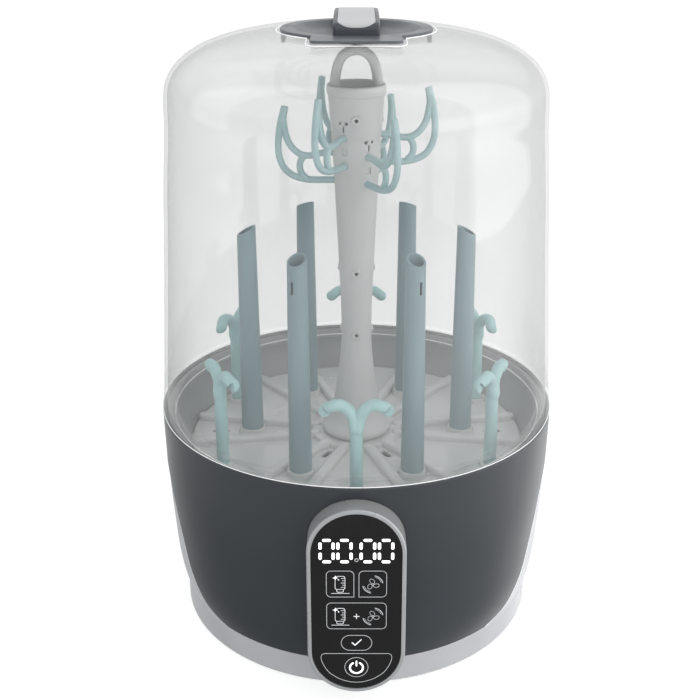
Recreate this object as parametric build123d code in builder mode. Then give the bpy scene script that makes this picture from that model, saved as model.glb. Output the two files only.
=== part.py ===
"""Bottle steriliser and dryer.

A round base with a hot plate and a drying fan carries an inner tub, a rack with posts,
pegs and a central tower, and a clear cover with a grip.
Millimetres, +Z up, front faces -Y, origin at the centre of the foot on the table.
In names, R_ is a radius from the piece's axis and Z_ a height above the table.
Outline tables named _RZ list (radius, z) and those named _YZ list (y, z).
"""
from build123d import *
import math
import os

os.makedirs("parts", exist_ok=True)

# --- shared dimensions ---

# base casing
R_RIM = 140.0          # outer radius where the clear cover meets the base
Z_RIM = 157.0          # top of the base rim
SHELL_WALL = 2.6
BODY_RZ = [(128.6, 20.8), (132.6, 36.0), (136.0, 67.0), (138.1, 99.0), (139.4, 138.0),
           (R_RIM, Z_RIM)]
REAR_INSET = 0.5       # the rear casing stands this far behind the front one
# seam between front and rear casing, seen from the side
SEAM_YZ = [(-96.0, 18.5), (-87.0, 23.8), (-81.0, 27.2), (-77.0, 30.6), (-73.3, 36.0),
           (-68.2, 45.5), (-64.0, 56.0), (-60.6, 67.5), (-56.3, 81.0), (-51.5, 93.5),
           (-46.0, 104.5), (-38.0, 113.2), (-27.0, 118.4), (-12.0, 120.5), (5.0, 121.0)]
R_PLINTH = 128.2
Z_PLINTH = 20.4
Z_PLATE = 1.5          # underside of the bottom plate
R_FOOT_IN, R_FOOT_OUT = 104.0, 114.0

# inner tub
R_WELL = 131.2
Z_WELL_TOP = 150.4
Z_LEDGE = 124.5        # the rack tray rests here
Z_FLOOR = 109.0
TUB_WALL = 2.4
Z_TUB_UNDER = Z_FLOOR - TUB_WALL
R_FLOOR_HOLE = 52.6

# clear cover
COVER_WALL = 2.6
Z_COVER = 157.2
R_SHOULDER, Z_SHOULDER, Z_CROWN = 127.05, 377.0, 420.45
SHOULDER_POWER_R, SHOULDER_POWER_Z = 3.28, 2.21   # superellipse of the shoulder
Z_SEAT = 418.6         # flat seat on the crown for the grip
R_SEAT = 62.5
R_CUP_HOLE = 42.0

# grip
Z_GRIP = Z_SEAT + 0.1  # underside of the dish flange
Z_DISH = 420.3
R_DISH = 50.0
R_CUP = 41.4           # outer radius of the bowl below the flange
TONGUE_W, TONGUE_L = 57.0, 65.5
GRIP_W, GRIP_L = 29.4, 83.0
GRIP_YZ = [(-41.4, 424.4), (-40.3, 426.6), (-37.0, 428.1), (-28.0, 429.2), (0, 430.2),
           (28.0, 429.2), (37.0, 428.1), (40.3, 426.6), (41.4, 424.4)]
BOWL_RZ = [(42.0, 420.3), (39.4, 418.8), (35.0, 416.4), (28.0, 414.6), (16.0, 413.8), (0, 413.6)]
BOWL_TANGENTS = ((-1, -0.45), (-1, 0))
GRIP_SCREWS = [(0, 37.5), (0, -37.5)]
Z_GRIP_SCREW = 413.4   # underside of the screw heads
CLIP_X = 48.0
Z_ROOM_TOP = 440.0     # top of the cutting bodies over the grip

# rack
R_TRAY = 120.5
Z_TRAY = 127.0         # tray floor, upper face
Z_PAD = 131.8          # top of ribs and post pads
Z_PLUG = 125.4         # lower end of the plugs of tower, posts and pegs
R_POSTS = 76.5
R_PEGS = 107.0
POST_R0, POST_R1 = 8.06, 6.5
Z_POST_TOP = 282.0     # slanted top, height on the post's axis
POST_SLANT = 28.0
POST_PLUG_R, PEG_PLUG_R = 5.0, 3.5
PLUG_FIT = 0.05        # radial clearance of each plug in its socket
Z_HUB = 129.8
R_HUB_BORE = 14.05

# hooks
HOOK_R = 2.3
Z_HOOK_LO, Z_HOOK_HI = 318.0, 337.0
HOOK_STEP = 12.6       # upper tier above lower tier

# control panel: an upright stadium
PANEL_Y, PANEL_Z = -153.0, 81.75
PANEL_W, PANEL_H = 62.8, 135.5
PANEL_GAP = 0.3        # clearance of the casing round the panel
BEZEL_WALL = 2.6
BEZEL_LEDGE = 2.6
PANEL_PLANE = Plane(origin=(0, PANEL_Y, PANEL_Z), x_dir=(1, 0, 0), z_dir=(0, -1, 0))
# board screws, (x, height) from the panel centre
PANEL_SCREWS = [(22.8, 30.0), (-22.8, 30.0), (22.8, -30.0), (-22.8, -30.0)]
TOUCH_DEPTH = 9.0      # touch board behind the panel plane
TOUCH_BOARD_T = 1.4

# hot plate
Z_FLANGE = Z_TUB_UNDER - 2.0           # top of the plate's flange, below the seal
R_FLANGE = 57.5
Z_HOT_UNDER = Z_FLANGE - 4.2           # underside of the plate
Z_BRACKET_TOP = 94.2
BRACKET_T = 1.8
BRACKET_SCREWS = [(66.0, 0), (-66.0, 0)]

# mains board
BOARD_X, BOARD_Y = -27.0, -65.0
Z_BOARD, BOARD_T = 10.0, 1.6
Z_BOARD_TOP = Z_BOARD + BOARD_T
BOARD_HOLES = [(BOARD_X + side_x * 31.0, BOARD_Y + side_y * 31.0)
               for side_x in (-1, 1) for side_y in (-1, 1)]

# drying fan, heater and duct
FAN_Y = 46.0
FAN_AXIS = (0, FAN_Y)
Z_FAN = 14.0           # underside of housing, heater and duct
FAN_H = 34.0
FAN_WALL = 1.8
R_FAN = 44.0
R_IMPELLER = 36.0
TAB_T = 2.4
FAN_TABS = [(49.0 * math.cos(math.radians(angle)), FAN_Y + 49.0 * math.sin(math.radians(angle)))
            for angle in (0, 90, 160)]
OUTLET_Y = FAN_Y - 31.0
OUTLET_W = 26.0
OUTLET_BORE_W = OUTLET_W - 2 * FAN_WALL
OUTLET_BORE_H = FAN_H - 2 * FAN_WALL
Z_OUTLET = Z_FAN + FAN_H / 2
HEATER_X = -71.5
DUCT_X, DUCT_L = -95.0, 24.0
GRILLE_R, GRILLE_H = 12.0, 9.0

# air filter and mains inlet
FILTER_W, FILTER_H = 76.0, 54.0
FILTER_Z = 53.0
INLET_AZ, INLET_Z = 48.0, 40.0


# --- helpers ---

def polar(azimuth, radius):
    """(x, y) of a point at an azimuth in degrees."""
    angle = math.radians(azimuth)
    return (radius * math.cos(angle), radius * math.sin(angle))


def outward_plane(azimuth, radius, z):
    """Plane whose normal points outward at the azimuth, x to the side, y up."""
    cosine, sine = polar(azimuth, 1.0)
    return Plane(origin=(*polar(azimuth, radius), z),
                 x_dir=(-sine, cosine, 0), z_dir=(cosine, sine, 0))


def rear_plane(y):
    """Plane facing the rear, centred on the height of the filter."""
    return Plane(origin=(0, y, FILTER_Z), x_dir=(-1, 0, 0), z_dir=(0, 1, 0))


def start_plane(line):
    """Plane square to a path at its start, for the section of a sweep."""
    return Plane(origin=line @ 0, z_dir=line % 0)


def offset_points(points, distance):
    """Points moved to the left of their direction of travel."""
    moved = []
    for i, (x, y) in enumerate(points):
        x0, y0 = points[max(i - 1, 0)]
        x1, y1 = points[min(i + 1, len(points) - 1)]
        length = math.hypot(x1 - x0, y1 - y0)
        moved.append((x - distance * (y1 - y0) / length, y + distance * (x1 - x0) / length))
    return moved


def inset(points, amount):
    """(radius, z) points moved toward the axis."""
    return [(radius - amount, z) for radius, z in points]


def band_outline(first, second):
    """Outline between two splines that run the same way; call it in a BuildLine."""
    Spline(*first)
    Line(first[-1], second[-1])
    Spline(*second[::-1])
    Line(second[0], first[0])


def seam_outline(seam, z_rear, z_top, z_front):
    """Outline of all that lies above the casing seam; call it in a BuildLine."""
    Spline(*seam)
    Polyline(seam[-1], (170.0, z_rear), (170.0, z_top), (-170.0, z_top), (-170.0, z_front), seam[0])


def panel_stadium(grow=0.0):
    """Upright outline of the control panel; call it in a sketch whose y is up."""
    return SlotOverall(PANEL_H + 2 * grow, PANEL_W + 2 * grow, rotation=90)


def screws(planes, head, shank):
    """Screws on planes; head and shank are (radius, start, length) along the normal."""
    with BuildPart() as screw_set:
        for plane in planes:
            for radius, start, length in (head, shank):
                with BuildSketch(plane.offset(start)):
                    Circle(radius)
                extrude(amount=length)
    return screw_set.part


def save(part, name):
    part.label = name
    export_step(part, f"parts/{name}.step")


# --- clear cover ---

def clear_dome():
    outer = [(R_RIM, Z_COVER), (139.0, 164.5), (138.1, 174.0), (137.0, 192.0), (134.6, 235.0),
             (132.2, 280.0), (129.6, 330.0), (R_SHOULDER + 0.55, 362.0)]
    for degrees in [90.0 * k / 60 for k in range(3, 60, 3)]:
        angle = math.radians(degrees)
        radius = R_SHOULDER * math.cos(angle) ** (2 / SHOULDER_POWER_R)
        z = Z_SHOULDER + (Z_CROWN - Z_SHOULDER) * math.sin(angle) ** (2 / SHOULDER_POWER_Z)
        if z < Z_SEAT - 0.3 and radius > R_SEAT + 1.0:
            outer.append((radius, z))
    outer.append((R_SEAT, Z_SEAT))
    # the inner face starts above the foot of the cover and ends under the seat
    inner = [point for point in offset_points(outer, COVER_WALL) if point[1] > 160.5]
    inner[-1] = (inner[-1][0], Z_SEAT - COVER_WALL)
    foot_rz = [(136.4, 160.2), (135.6, 159.6), (129.4, 159.6), (129.4, 152.0), (129.8, 151.6),
               (131.0, 151.6), (131.4, 152.0), (131.4, Z_COVER), (R_RIM, Z_COVER)]

    with BuildPart() as dome:
        with BuildSketch(Plane.XZ):
            with BuildLine():
                Spline(*outer)
                Polyline((R_SEAT, Z_SEAT), (R_CUP_HOLE, Z_SEAT),
                         (R_CUP_HOLE, Z_SEAT - COVER_WALL), inner[-1])
                Spline(*inner)
                Polyline(inner[0], *foot_rz)
            make_face()
        revolve(axis=Axis.Z)
        # slots for the two snap clips of the grip
        with BuildSketch(Plane.XY.offset(Z_SEAT - 8)):
            with Locations((CLIP_X, 0), (-CLIP_X, 0)):
                Rectangle(3.4, 6.0)
        extrude(amount=12, mode=Mode.SUBTRACT)
    return dome.part


# --- grip on the crown ---

def handle_dish():
    under_rz = [(R_CUP, Z_GRIP), (38.5, 415.9), (33.0, 413.9), (28.0, 413.0), (18.0, 412.2),
                (0, 412.0)]
    z_fill = 419.5     # top of the solid cup before the bowl is cut
    z_screw_seat = 414.9
    with BuildPart() as dish:
        # flange with a tongue to the front
        with BuildSketch(Plane.XY.offset(Z_GRIP)):
            Circle(R_DISH)
            with Locations((0, -TONGUE_L / 2)):
                RectangleRounded(TONGUE_W, TONGUE_L, 5.0)
        extrude(amount=Z_DISH - Z_GRIP)
        chamfer(dish.faces().sort_by(Axis.Z)[-1].edges(), 0.5)
        with BuildSketch(Plane.XZ):
            with BuildLine():
                Spline(*under_rz, tangents=((-0.4, -1), (-1, 0)))
                Polyline(under_rz[-1], (0, z_fill), (R_CUP, z_fill), under_rz[0])
            make_face()
        revolve(axis=Axis.Z)
        # screw seats below, screw holes through the wall of the bowl
        with BuildSketch(Plane.XY.offset(z_screw_seat)):
            with Locations(*GRIP_SCREWS):
                Circle(3.6)
        extrude(amount=3.0)
        with BuildSketch(Plane.XY.offset(410.0)):
            with Locations(*GRIP_SCREWS):
                Circle(2.7)
        extrude(amount=z_screw_seat - 410.0, mode=Mode.SUBTRACT)
        # the bowl
        with BuildSketch(Plane.XZ):
            with BuildLine():
                Spline(*BOWL_RZ, tangents=BOWL_TANGENTS)
                Polyline(BOWL_RZ[-1], (0, Z_DISH + 2), (BOWL_RZ[0][0], Z_DISH + 2), BOWL_RZ[0])
            make_face()
        revolve(axis=Axis.Z, mode=Mode.SUBTRACT)
        with BuildSketch(Plane.XY.offset(Z_SEAT - 8)):
            with Locations(*GRIP_SCREWS):
                Circle(1.5)
        extrude(amount=12, mode=Mode.SUBTRACT)
    return dish.part


def room_above_bowl():
    """Space over the bowl and the dish, a fine gap clear of the bowl."""
    gap = 0.04
    surface = [(radius, z + gap) for radius, z in BOWL_RZ]
    with BuildPart() as room:
        with BuildSketch(Plane.XZ):
            with BuildLine():
                Spline(*surface, tangents=BOWL_TANGENTS)
                Polyline(surface[-1], (0, Z_ROOM_TOP), (60.0, Z_ROOM_TOP), (60.0, Z_DISH),
                         (surface[0][0], Z_DISH), (surface[0][0], Z_DISH + gap))
            make_face()
        revolve(axis=Axis.Z)
    return room.part


def inlay_seat():
    """Space that the inlay's seat takes from the top of the bridge."""
    floor = offset_points(GRIP_YZ, -0.5)
    with BuildPart() as seat:
        with BuildSketch(Plane.YZ):
            with BuildLine():
                Spline(*floor)
                Polyline(floor[-1], (44.0, floor[-1][1]), (44.0, Z_ROOM_TOP),
                         (-44.0, Z_ROOM_TOP), (-44.0, floor[0][1]), floor[0])
            make_face()
        extrude(amount=14, both=True)
        with BuildSketch(Plane.XY.offset(415)):
            RectangleRounded(24.2, 82.6, 12.05)
        extrude(amount=30, mode=Mode.INTERSECT)
    return seat.part


def handle_bridge():
    z_foot = 412.0
    # ends of the bridge at y = +-41.5, then the underside from rear to front
    front_end = [(-41.5, z_foot), (-41.5, 416.0), (-41.5, 420.4)]
    rear_end = [(-y, z) for y, z in reversed(front_end)]
    under = [(33.5, z_foot), (31.6, 420.4), (26.0, 423.2), (0, 425.0), (-26.0, 423.2),
             (-31.6, 420.4), (-33.5, z_foot)]
    room = room_above_bowl()
    seat = inlay_seat()
    with BuildPart() as bridge:
        with BuildSketch(Plane.YZ):
            with BuildLine():
                Line(under[-1], front_end[0])
                Spline(*front_end, *GRIP_YZ, *rear_end)
                Line(rear_end[-1], under[0])
                Spline(*under)
            make_face()
        extrude(amount=GRIP_W / 2, both=True)
        side_edges = bridge.edges().group_by(Axis.X)[-1] + bridge.edges().group_by(Axis.X)[0]
        fillet(side_edges.filter_by(lambda edge: edge.center().Z > 427), 1.6)
        with BuildSketch(Plane.XY.offset(410)):
            RectangleRounded(GRIP_W, GRIP_L, 2.2)
        extrude(amount=30, mode=Mode.INTERSECT)
        add(room, mode=Mode.INTERSECT)
        add(seat, mode=Mode.SUBTRACT)
        # pilot holes of the two fixing screws
        with BuildSketch(Plane.XY.offset(411.0)):
            with Locations(*GRIP_SCREWS):
                Circle(1.3)
        extrude(amount=13.2, mode=Mode.SUBTRACT)
    return bridge.part


def handle_inlay():
    with BuildPart() as inlay:
        with BuildSketch(Plane.YZ):
            with BuildLine():
                band_outline(offset_points(GRIP_YZ, -0.48), offset_points(GRIP_YZ, 0.3))
            make_face()
        extrude(amount=14, both=True)
        with BuildSketch(Plane.XY.offset(415)):
            RectangleRounded(23.8, 82.2, 11.85)
        extrude(amount=30, mode=Mode.INTERSECT)
    return inlay.part


def handle_screws():
    planes = [Plane(origin=(x, y, Z_GRIP_SCREW)) for x, y in GRIP_SCREWS]
    return screws(planes, head=(2.4, 0, 1.5), shank=(1.2, 1.4, 9.0))


def handle_clips():
    z_tip = 410.4
    with BuildPart() as clips:
        for side in (-1, 1):
            with BuildSketch(Plane.XY.offset(z_tip)):
                with Locations((CLIP_X * side, 0)):
                    Rectangle(2.4, 5.0)
            extrude(amount=Z_GRIP - z_tip)
            # barb on the face toward the axis
            with BuildSketch(Plane.XZ.offset(-2.5)):
                with Locations((0, 0)):
                    Polygon((side * 46.9, 411.0), (side * 46.9, 415.6), (side * 45.4, 415.6),
                            align=None)
            extrude(amount=5.0)
    return clips.part


# --- rack tray: drain tray with six post sectors between paired ribs ---

def rib_pair():
    """Two ribs, mirrored across the x axis, that spread outward."""
    start, end = (30.0, 7.0), (115.0, 21.2)
    run, spread = end[0] - start[0], end[1] - start[1]
    length = math.hypot(run, spread)
    with BuildPart() as ribs:
        for side in (1, -1):
            with BuildSketch(Plane(origin=(start[0], side * start[1], Z_TRAY - 0.5),
                                   x_dir=(run, side * spread, 0), z_dir=(0, 0, 1))):
                with Locations((length / 2, 0)):
                    SlotCenterToCenter(length, 8.0)
            extrude(amount=Z_PAD - Z_TRAY + 0.3)
        fillet(ribs.faces().group_by(Axis.Z)[-1].edges(), 2.4)
    return ribs.part


def rack_tray():
    ribs = rib_pair()
    z_sunk = Z_TRAY - 0.5      # hub and pads start inside the tray floor
    with BuildPart() as tray:
        with BuildSketch(Plane.XY.offset(Z_LEDGE)):
            Circle(R_TRAY)
        extrude(amount=Z_TRAY - Z_LEDGE)
        fillet(tray.faces().sort_by(Axis.Z)[-1].edges(), 1.0)
        # hub, post pads, peg pads
        with BuildSketch(Plane.XY.offset(z_sunk)):
            Circle(33.0)
        extrude(amount=Z_HUB - z_sunk, taper=12)
        with BuildSketch(Plane.XY.offset(z_sunk)):
            with PolarLocations(R_POSTS, 6):
                Circle(10.4)
        extrude(amount=Z_PAD - z_sunk, taper=14)
        with BuildSketch(Plane.XY.offset(z_sunk)):
            with PolarLocations(R_PEGS, 6, start_angle=30):
                Circle(8.0)
        extrude(amount=3.5, taper=14)
        with PolarLocations(0, 6):
            add(ribs)
        # sockets and drains
        with BuildSketch(Plane.XY.offset(Z_LEDGE - 1)):
            Circle(R_HUB_BORE)
            with PolarLocations(R_POSTS, 6):
                Circle(POST_PLUG_R)
            with PolarLocations(R_PEGS, 6, start_angle=30):
                Circle(PEG_PLUG_R)
            with PolarLocations(42.0, 6):
                SlotOverall(11.0, 4.2)
            with PolarLocations(100.0, 6):
                SlotOverall(13.0, 4.0)
        extrude(amount=20, mode=Mode.SUBTRACT)
    return tray.part


# --- centre tower with loop handle, air holes and hook sockets ---

TOWER_RZ = [(23.4, 130.6), (24.8, 132.2), (25.0, 134.0), (23.2, 136.8), (20.0, 140.6),
            (17.6, 147.0), (15.3, 160.0), (12.0, 184.0), (10.6, 208.0), (11.1, 232.0),
            (12.4, 262.0), (15.0, 316.0), (17.1, 352.0), (18.9, 376.0)]
TOWER_WALL = 2.2
TOWER_INNER_RZ = inset(TOWER_RZ[5:], TOWER_WALL)   # the wall is even from here upward
AIR_HOLES = [(azimuth, z) for z in (362.0, 254.0, 207.6) for azimuth in (-90, 30, 150)]


def tower_radius(z):
    """Outer radius of the tower, straight between the outline's points."""
    for (r0, z0), (r1, z1) in zip(TOWER_RZ, TOWER_RZ[1:]):
        if z <= z1:
            return r0 + (r1 - r0) * (z - z0) / (z1 - z0)


def tier_lift(i):
    """Rise of hook i: even ones are on the upper tier."""
    return HOOK_STEP if i % 2 == 0 else 0.0


def drying_tower():
    spigot_bore = (12.0, Z_PLUG)
    lip_rz = [(19.7, 377.4), (20.0, 380.0), (19.7, 382.8), (19.0, 383.5), (17.5, 383.5),
              (17.0, 382.8)]
    foot_inner_rz = [(17.4, 141.2), (20.2, 136.6), (19.4, 134.0), (16.6, 132.4), (12.0, 131.0)]
    loop_xz = [(-14.7, 371.5), (-14.3, 383.0), (-12.9, 393.4), (-8.6, 402.0), (0, 405.4),
               (8.6, 402.0), (12.9, 393.4), (14.3, 383.0), (14.7, 371.5)]
    with BuildPart() as tower:
        with BuildSketch(Plane.XZ):
            with BuildLine():
                Polyline(spigot_bore, (14.0, Z_PLUG), (14.0, Z_HUB), (22.4, Z_HUB), TOWER_RZ[0])
                Spline(*TOWER_RZ)
                Polyline(TOWER_RZ[-1], *lip_rz, TOWER_INNER_RZ[-1])
                Spline(*TOWER_INNER_RZ[::-1])
                Polyline(TOWER_INNER_RZ[0], *foot_inner_rz, spigot_bore)
            make_face()
        revolve(axis=Axis.Z)
        with BuildLine(Plane.XZ) as loop:
            Spline(*loop_xz, tangents=((0.02, 1), (0.02, -1)))
        with BuildSketch(start_plane(loop.line)):
            Circle(3.4)
        sweep(path=loop.line)
        # raised rings round the air holes
        for azimuth, z in AIR_HOLES:
            with BuildSketch(outward_plane(azimuth, tower_radius(z) - 1.4, z)):
                Circle(3.3)
            extrude(amount=2.7)
        for azimuth, z in AIR_HOLES:
            with BuildSketch(outward_plane(azimuth, tower_radius(z) - 5.0, z)):
                Circle(1.3)
            extrude(amount=8.0, mode=Mode.SUBTRACT)
        for i in range(6):
            azimuth = 60.0 * i
            lift = tier_lift(i)
            # two hook sockets
            for z in (Z_HOOK_LO + lift, Z_HOOK_HI + lift):
                with BuildSketch(outward_plane(azimuth, 8.0, z)):
                    Circle(HOOK_R + PLUG_FIT)
                extrude(amount=14.0, mode=Mode.SUBTRACT)
            # T-shaped opening above them, with a knob in its cross bar
            z = Z_HOOK_HI + lift + 8.4
            with BuildSketch(outward_plane(azimuth, 8.0, z)):
                with Locations((0, -2.4)):
                    Rectangle(1.2, 4.2)
                with Locations((0, 1.6)):
                    Rectangle(6.6, 1.9)
            extrude(amount=14.0, mode=Mode.SUBTRACT)
            with BuildSketch(outward_plane(azimuth, tower_radius(z) - 1.9, z)):
                with Locations((0, 1.6)):
                    Circle(1.5)
            extrude(amount=2.5)
            # square recess between the sockets
            z = (Z_HOOK_LO + Z_HOOK_HI) / 2 + lift
            with BuildSketch(outward_plane(azimuth, tower_radius(z) - 1.2, z)):
                Rectangle(4.6, 4.6)
            extrude(amount=6.0, mode=Mode.SUBTRACT)
    return tower.part


# --- teat hooks: three on the upper tier, three on the lower tier ---

# each arm: x where its plug starts, (x, z) points of its bend, end tangents
HOOK_ARMS = [
    (13.3, [(21.0, Z_HOOK_LO), (38.0, 319.2), (46.6, 323.4), (51.4, 331.0), (52.9, 341.7),
            (51.4, 355.0), (48.2, 367.9)], ((1, 0), (-0.28, 1))),
    (14.6, [(20.4, Z_HOOK_HI), (30.8, 334.9), (37.4, 335.6), (42.8, 339.6), (47.2, 347.6),
            (48.9, 356.5), (47.7, 368.3)], ((1, -0.05), (-0.2, 1))),
]
HOOK_BRACE = [(34.0, 335.4), (37.6, 331.6), (38.5, 326.8), (37.2, 322.4), (33.6, 319.4)]


def hook_model():
    """Lower-tier hook at azimuth 0."""
    with BuildPart() as model:
        for plug_x, bend, tangents in HOOK_ARMS:
            with BuildLine(Plane.XZ) as arm:
                Line((plug_x, bend[0][1]), bend[0])
                Spline(*bend, tangents=tangents)
            with BuildSketch(start_plane(arm.line)):
                Circle(HOOK_R)
            sweep(path=arm.line)
        with BuildLine(Plane.XZ) as brace:
            Spline(*HOOK_BRACE)
        with BuildSketch(start_plane(brace.line)):
            Circle(HOOK_R * 0.98)
        sweep(path=brace.line)
    return model.part


def placed_hook(model, i):
    with BuildPart() as hook:
        with Locations(Location((0, 0, tier_lift(i)), (0, 0, 60.0 * i))):
            add(model)
    return hook.part


# --- bottle posts: tapered tubes with a slanted mouth ---

def bottle_post(azimuth):
    centre = polar(azimuth, R_POSTS)
    z_blank = 292.0    # the tube is drawn up to here, then cut at a slant
    r_blank = POST_R0 + (POST_R1 - POST_R0) * (z_blank - Z_PAD) / (Z_POST_TOP - Z_PAD)
    slant = math.radians(POST_SLANT)
    with BuildPart() as post:
        with BuildSketch(Plane.XY.offset(Z_PAD)):
            with Locations(centre):
                Circle(POST_R0)
        with BuildSketch(Plane.XY.offset(z_blank)):
            with Locations(centre):
                Circle(r_blank)
        loft()
        # bore of the tube
        with BuildSketch(Plane.XY.offset(Z_PAD + 2.0)):
            with Locations(centre):
                Circle(POST_R0 - 1.7)
        with BuildSketch(Plane.XY.offset(z_blank)):
            with Locations(centre):
                Circle(r_blank - 1.5)
        loft(mode=Mode.SUBTRACT)
        # hollow plug
        with BuildSketch(Plane.XY.offset(Z_PLUG)):
            with Locations(centre):
                Circle(POST_PLUG_R - PLUG_FIT)
        extrude(amount=Z_PAD - Z_PLUG)
        with BuildSketch(Plane.XY.offset(Z_PAD - 7.0)):
            with Locations(centre):
                Circle(3.2)
        extrude(amount=12.0, mode=Mode.SUBTRACT)
        # upright slot in the outward side
        with BuildSketch(outward_plane(azimuth, R_POSTS, 264.5)):
            SlotOverall(9.0, 1.8, rotation=90)
        extrude(amount=9.0, mode=Mode.SUBTRACT)
        cut = Plane(origin=(*centre, Z_POST_TOP),
                    z_dir=(*polar(azimuth, math.sin(slant)), math.cos(slant)))
        split(bisect_by=cut, keep=Keep.BOTTOM)
    return post.part


# --- Y pegs near the rim ---

# arm of the Y: (sideways, z)
PEG_ARM = [(0.6, 181.0), (1.6, 188.0), (4.6, 194.6), (10.0, 198.6), (15.6, 198.0), (20.2, 194.6)]


def peg_model():
    """Peg at azimuth -30."""
    azimuth = -30.0
    centre = polar(azimuth, R_PEGS)
    with BuildPart() as peg:
        with BuildSketch(Plane.XY.offset(130.0)):
            with Locations(centre):
                Circle(4.5)
        with BuildSketch(Plane.XY.offset(184.0)):
            with Locations(centre):
                Circle(4.15)
        loft()
        for side in (1, -1):
            with BuildLine(outward_plane(azimuth, R_PEGS, 0)) as arm:
                Spline(*[(x * side, z) for x, z in PEG_ARM],
                       tangents=((0.1 * side, 1), (0.8 * side, -0.62)))
            with BuildSketch(start_plane(arm.line)):
                Circle(3.9)
            sweep(path=arm.line)
        with BuildSketch(Plane.XY.offset(Z_PLUG)):
            with Locations(centre):
                Circle(PEG_PLUG_R - PLUG_FIT)
        extrude(amount=5.0)
    return peg.part


def placed_peg(model, i):
    with BuildPart() as peg:
        add(model.rotate(Axis.Z, 60.0 * (i - 1)))
    return peg.part


# --- inner tub ---

COLUMNS = [polar(azimuth, 96.0) for azimuth in (-35, -145, 38, 142)]


def well_tub():
    wall_in = [(121.6, Z_LEDGE), (123.4, 127.4), (128.0, 136.5), (130.7, 145.0),
               (R_WELL, Z_WELL_TOP - 0.6)]
    wall_out = [(133.9, 149.0), (133.1, 144.6), (130.3, 135.6), (125.8, 126.4), (123.6, 122.4)]
    z_column = 4.0
    with BuildPart() as tub:
        with BuildSketch(Plane.XZ):
            with BuildLine():
                Polyline((R_FLOOR_HOLE, Z_TUB_UNDER), (R_FLOOR_HOLE, Z_FLOOR), (114.0, Z_FLOOR),
                         (116.4, 111.0), (117.5, Z_LEDGE), wall_in[0])
                Spline(*wall_in)
                Polyline(wall_in[-1], (R_WELL + 0.3, Z_WELL_TOP), (136.2, 155.2),
                         (136.6, 155.0), (136.6, 152.4), wall_out[0])
                Spline(*wall_out)
                Polyline(wall_out[-1], (119.6, 122.2), (118.6, 110.4),
                         (115.2, Z_TUB_UNDER), (R_FLOOR_HOLE, Z_TUB_UNDER))
            make_face()
        revolve(axis=Axis.Z)
        # columns down to the bottom plate, and bosses of the plate bracket
        with BuildSketch(Plane.XY.offset(z_column)):
            with Locations(*COLUMNS):
                Circle(5.0)
        extrude(amount=Z_TUB_UNDER - z_column + 0.5)
        with BuildSketch(Plane.XY.offset(Z_BRACKET_TOP)):
            with Locations(*BRACKET_SCREWS):
                Circle(4.6)
        extrude(amount=Z_TUB_UNDER - Z_BRACKET_TOP + 0.5)
        # pilot holes
        with BuildSketch(Plane.XY.offset(z_column - 1)):
            with Locations(*COLUMNS):
                Circle(1.35)
        extrude(amount=16.0, mode=Mode.SUBTRACT)
        with BuildSketch(Plane.XY.offset(93.0)):
            with Locations(*BRACKET_SCREWS):
                Circle(1.35)
        extrude(amount=11.0, mode=Mode.SUBTRACT)
        # warm-air inlet in the floor
        with BuildSketch(Plane.XY.offset(Z_TUB_UNDER - 1)):
            with Locations((DUCT_X, OUTLET_Y)):
                Circle(8.5)
        extrude(amount=6.0, mode=Mode.SUBTRACT)
    return tub.part


def air_grille():
    with BuildPart() as grille:
        with BuildSketch(Plane.XY.offset(Z_FLOOR)):
            with Locations((DUCT_X, OUTLET_Y)):
                Circle(GRILLE_R)
                Circle(8.6, mode=Mode.SUBTRACT)
        extrude(amount=GRILLE_H)
        with BuildSketch(Plane.XY.offset(Z_FLOOR + GRILLE_H)):
            with Locations((DUCT_X, OUTLET_Y)):
                Circle(GRILLE_R)
        extrude(amount=1.6)
        chamfer(grille.faces().sort_by(Axis.Z)[-1].edges(), 0.8)
        # openings round the side
        with Locations((DUCT_X, OUTLET_Y, Z_FLOOR + 5.0)):
            with PolarLocations(0, 8, start_angle=22.5):
                Box(30.0, 3.2, 5.0, mode=Mode.SUBTRACT)
    return grille.part


# --- hot plate assembly ---

def plate_seal():
    with BuildPart() as seal:
        with BuildSketch(Plane.XY.offset(Z_FLANGE)):
            Circle(R_FLANGE)
            Circle(R_FLOOR_HOLE + 0.2, mode=Mode.SUBTRACT)
        extrude(amount=Z_TUB_UNDER - Z_FLANGE)
    return seal.part


def heating_plate():
    sheet = 1.2
    dish_depth = 3.0
    with BuildPart() as plate:
        with BuildSketch(Plane.XZ):
            with BuildLine():
                Polyline((0, Z_HOT_UNDER), (46.0, Z_HOT_UNDER), (49.6, Z_FLANGE - sheet),
                         (R_FLANGE, Z_FLANGE - sheet), (R_FLANGE, Z_FLANGE), (49.2, Z_FLANGE),
                         (45.6, Z_FLANGE - dish_depth), (0, Z_FLANGE - dish_depth),
                         (0, Z_HOT_UNDER))
            make_face()
        revolve(axis=Axis.Z)
    return plate.part


def heating_element():
    with BuildPart() as element:
        with BuildSketch(Plane.XY.offset(Z_BRACKET_TOP)):
            Circle(38.0)
            Circle(30.0, mode=Mode.SUBTRACT)
        extrude(amount=Z_HOT_UNDER - Z_BRACKET_TOP)
        # two terminals
        with BuildSketch(Plane.XY.offset(88.0)):
            with Locations((12.0, -32.0), (-12.0, -32.0)):
                Circle(2.0)
        extrude(amount=6.6)
    return element.part


def plate_bracket():
    with BuildPart() as bracket:
        with BuildSketch(Plane.XY.offset(Z_BRACKET_TOP - BRACKET_T)):
            SlotOverall(146.0, 14.0)
            with Locations(*BRACKET_SCREWS):
                Circle(1.7, mode=Mode.SUBTRACT)
        extrude(amount=BRACKET_T)
    return bracket.part


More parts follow.
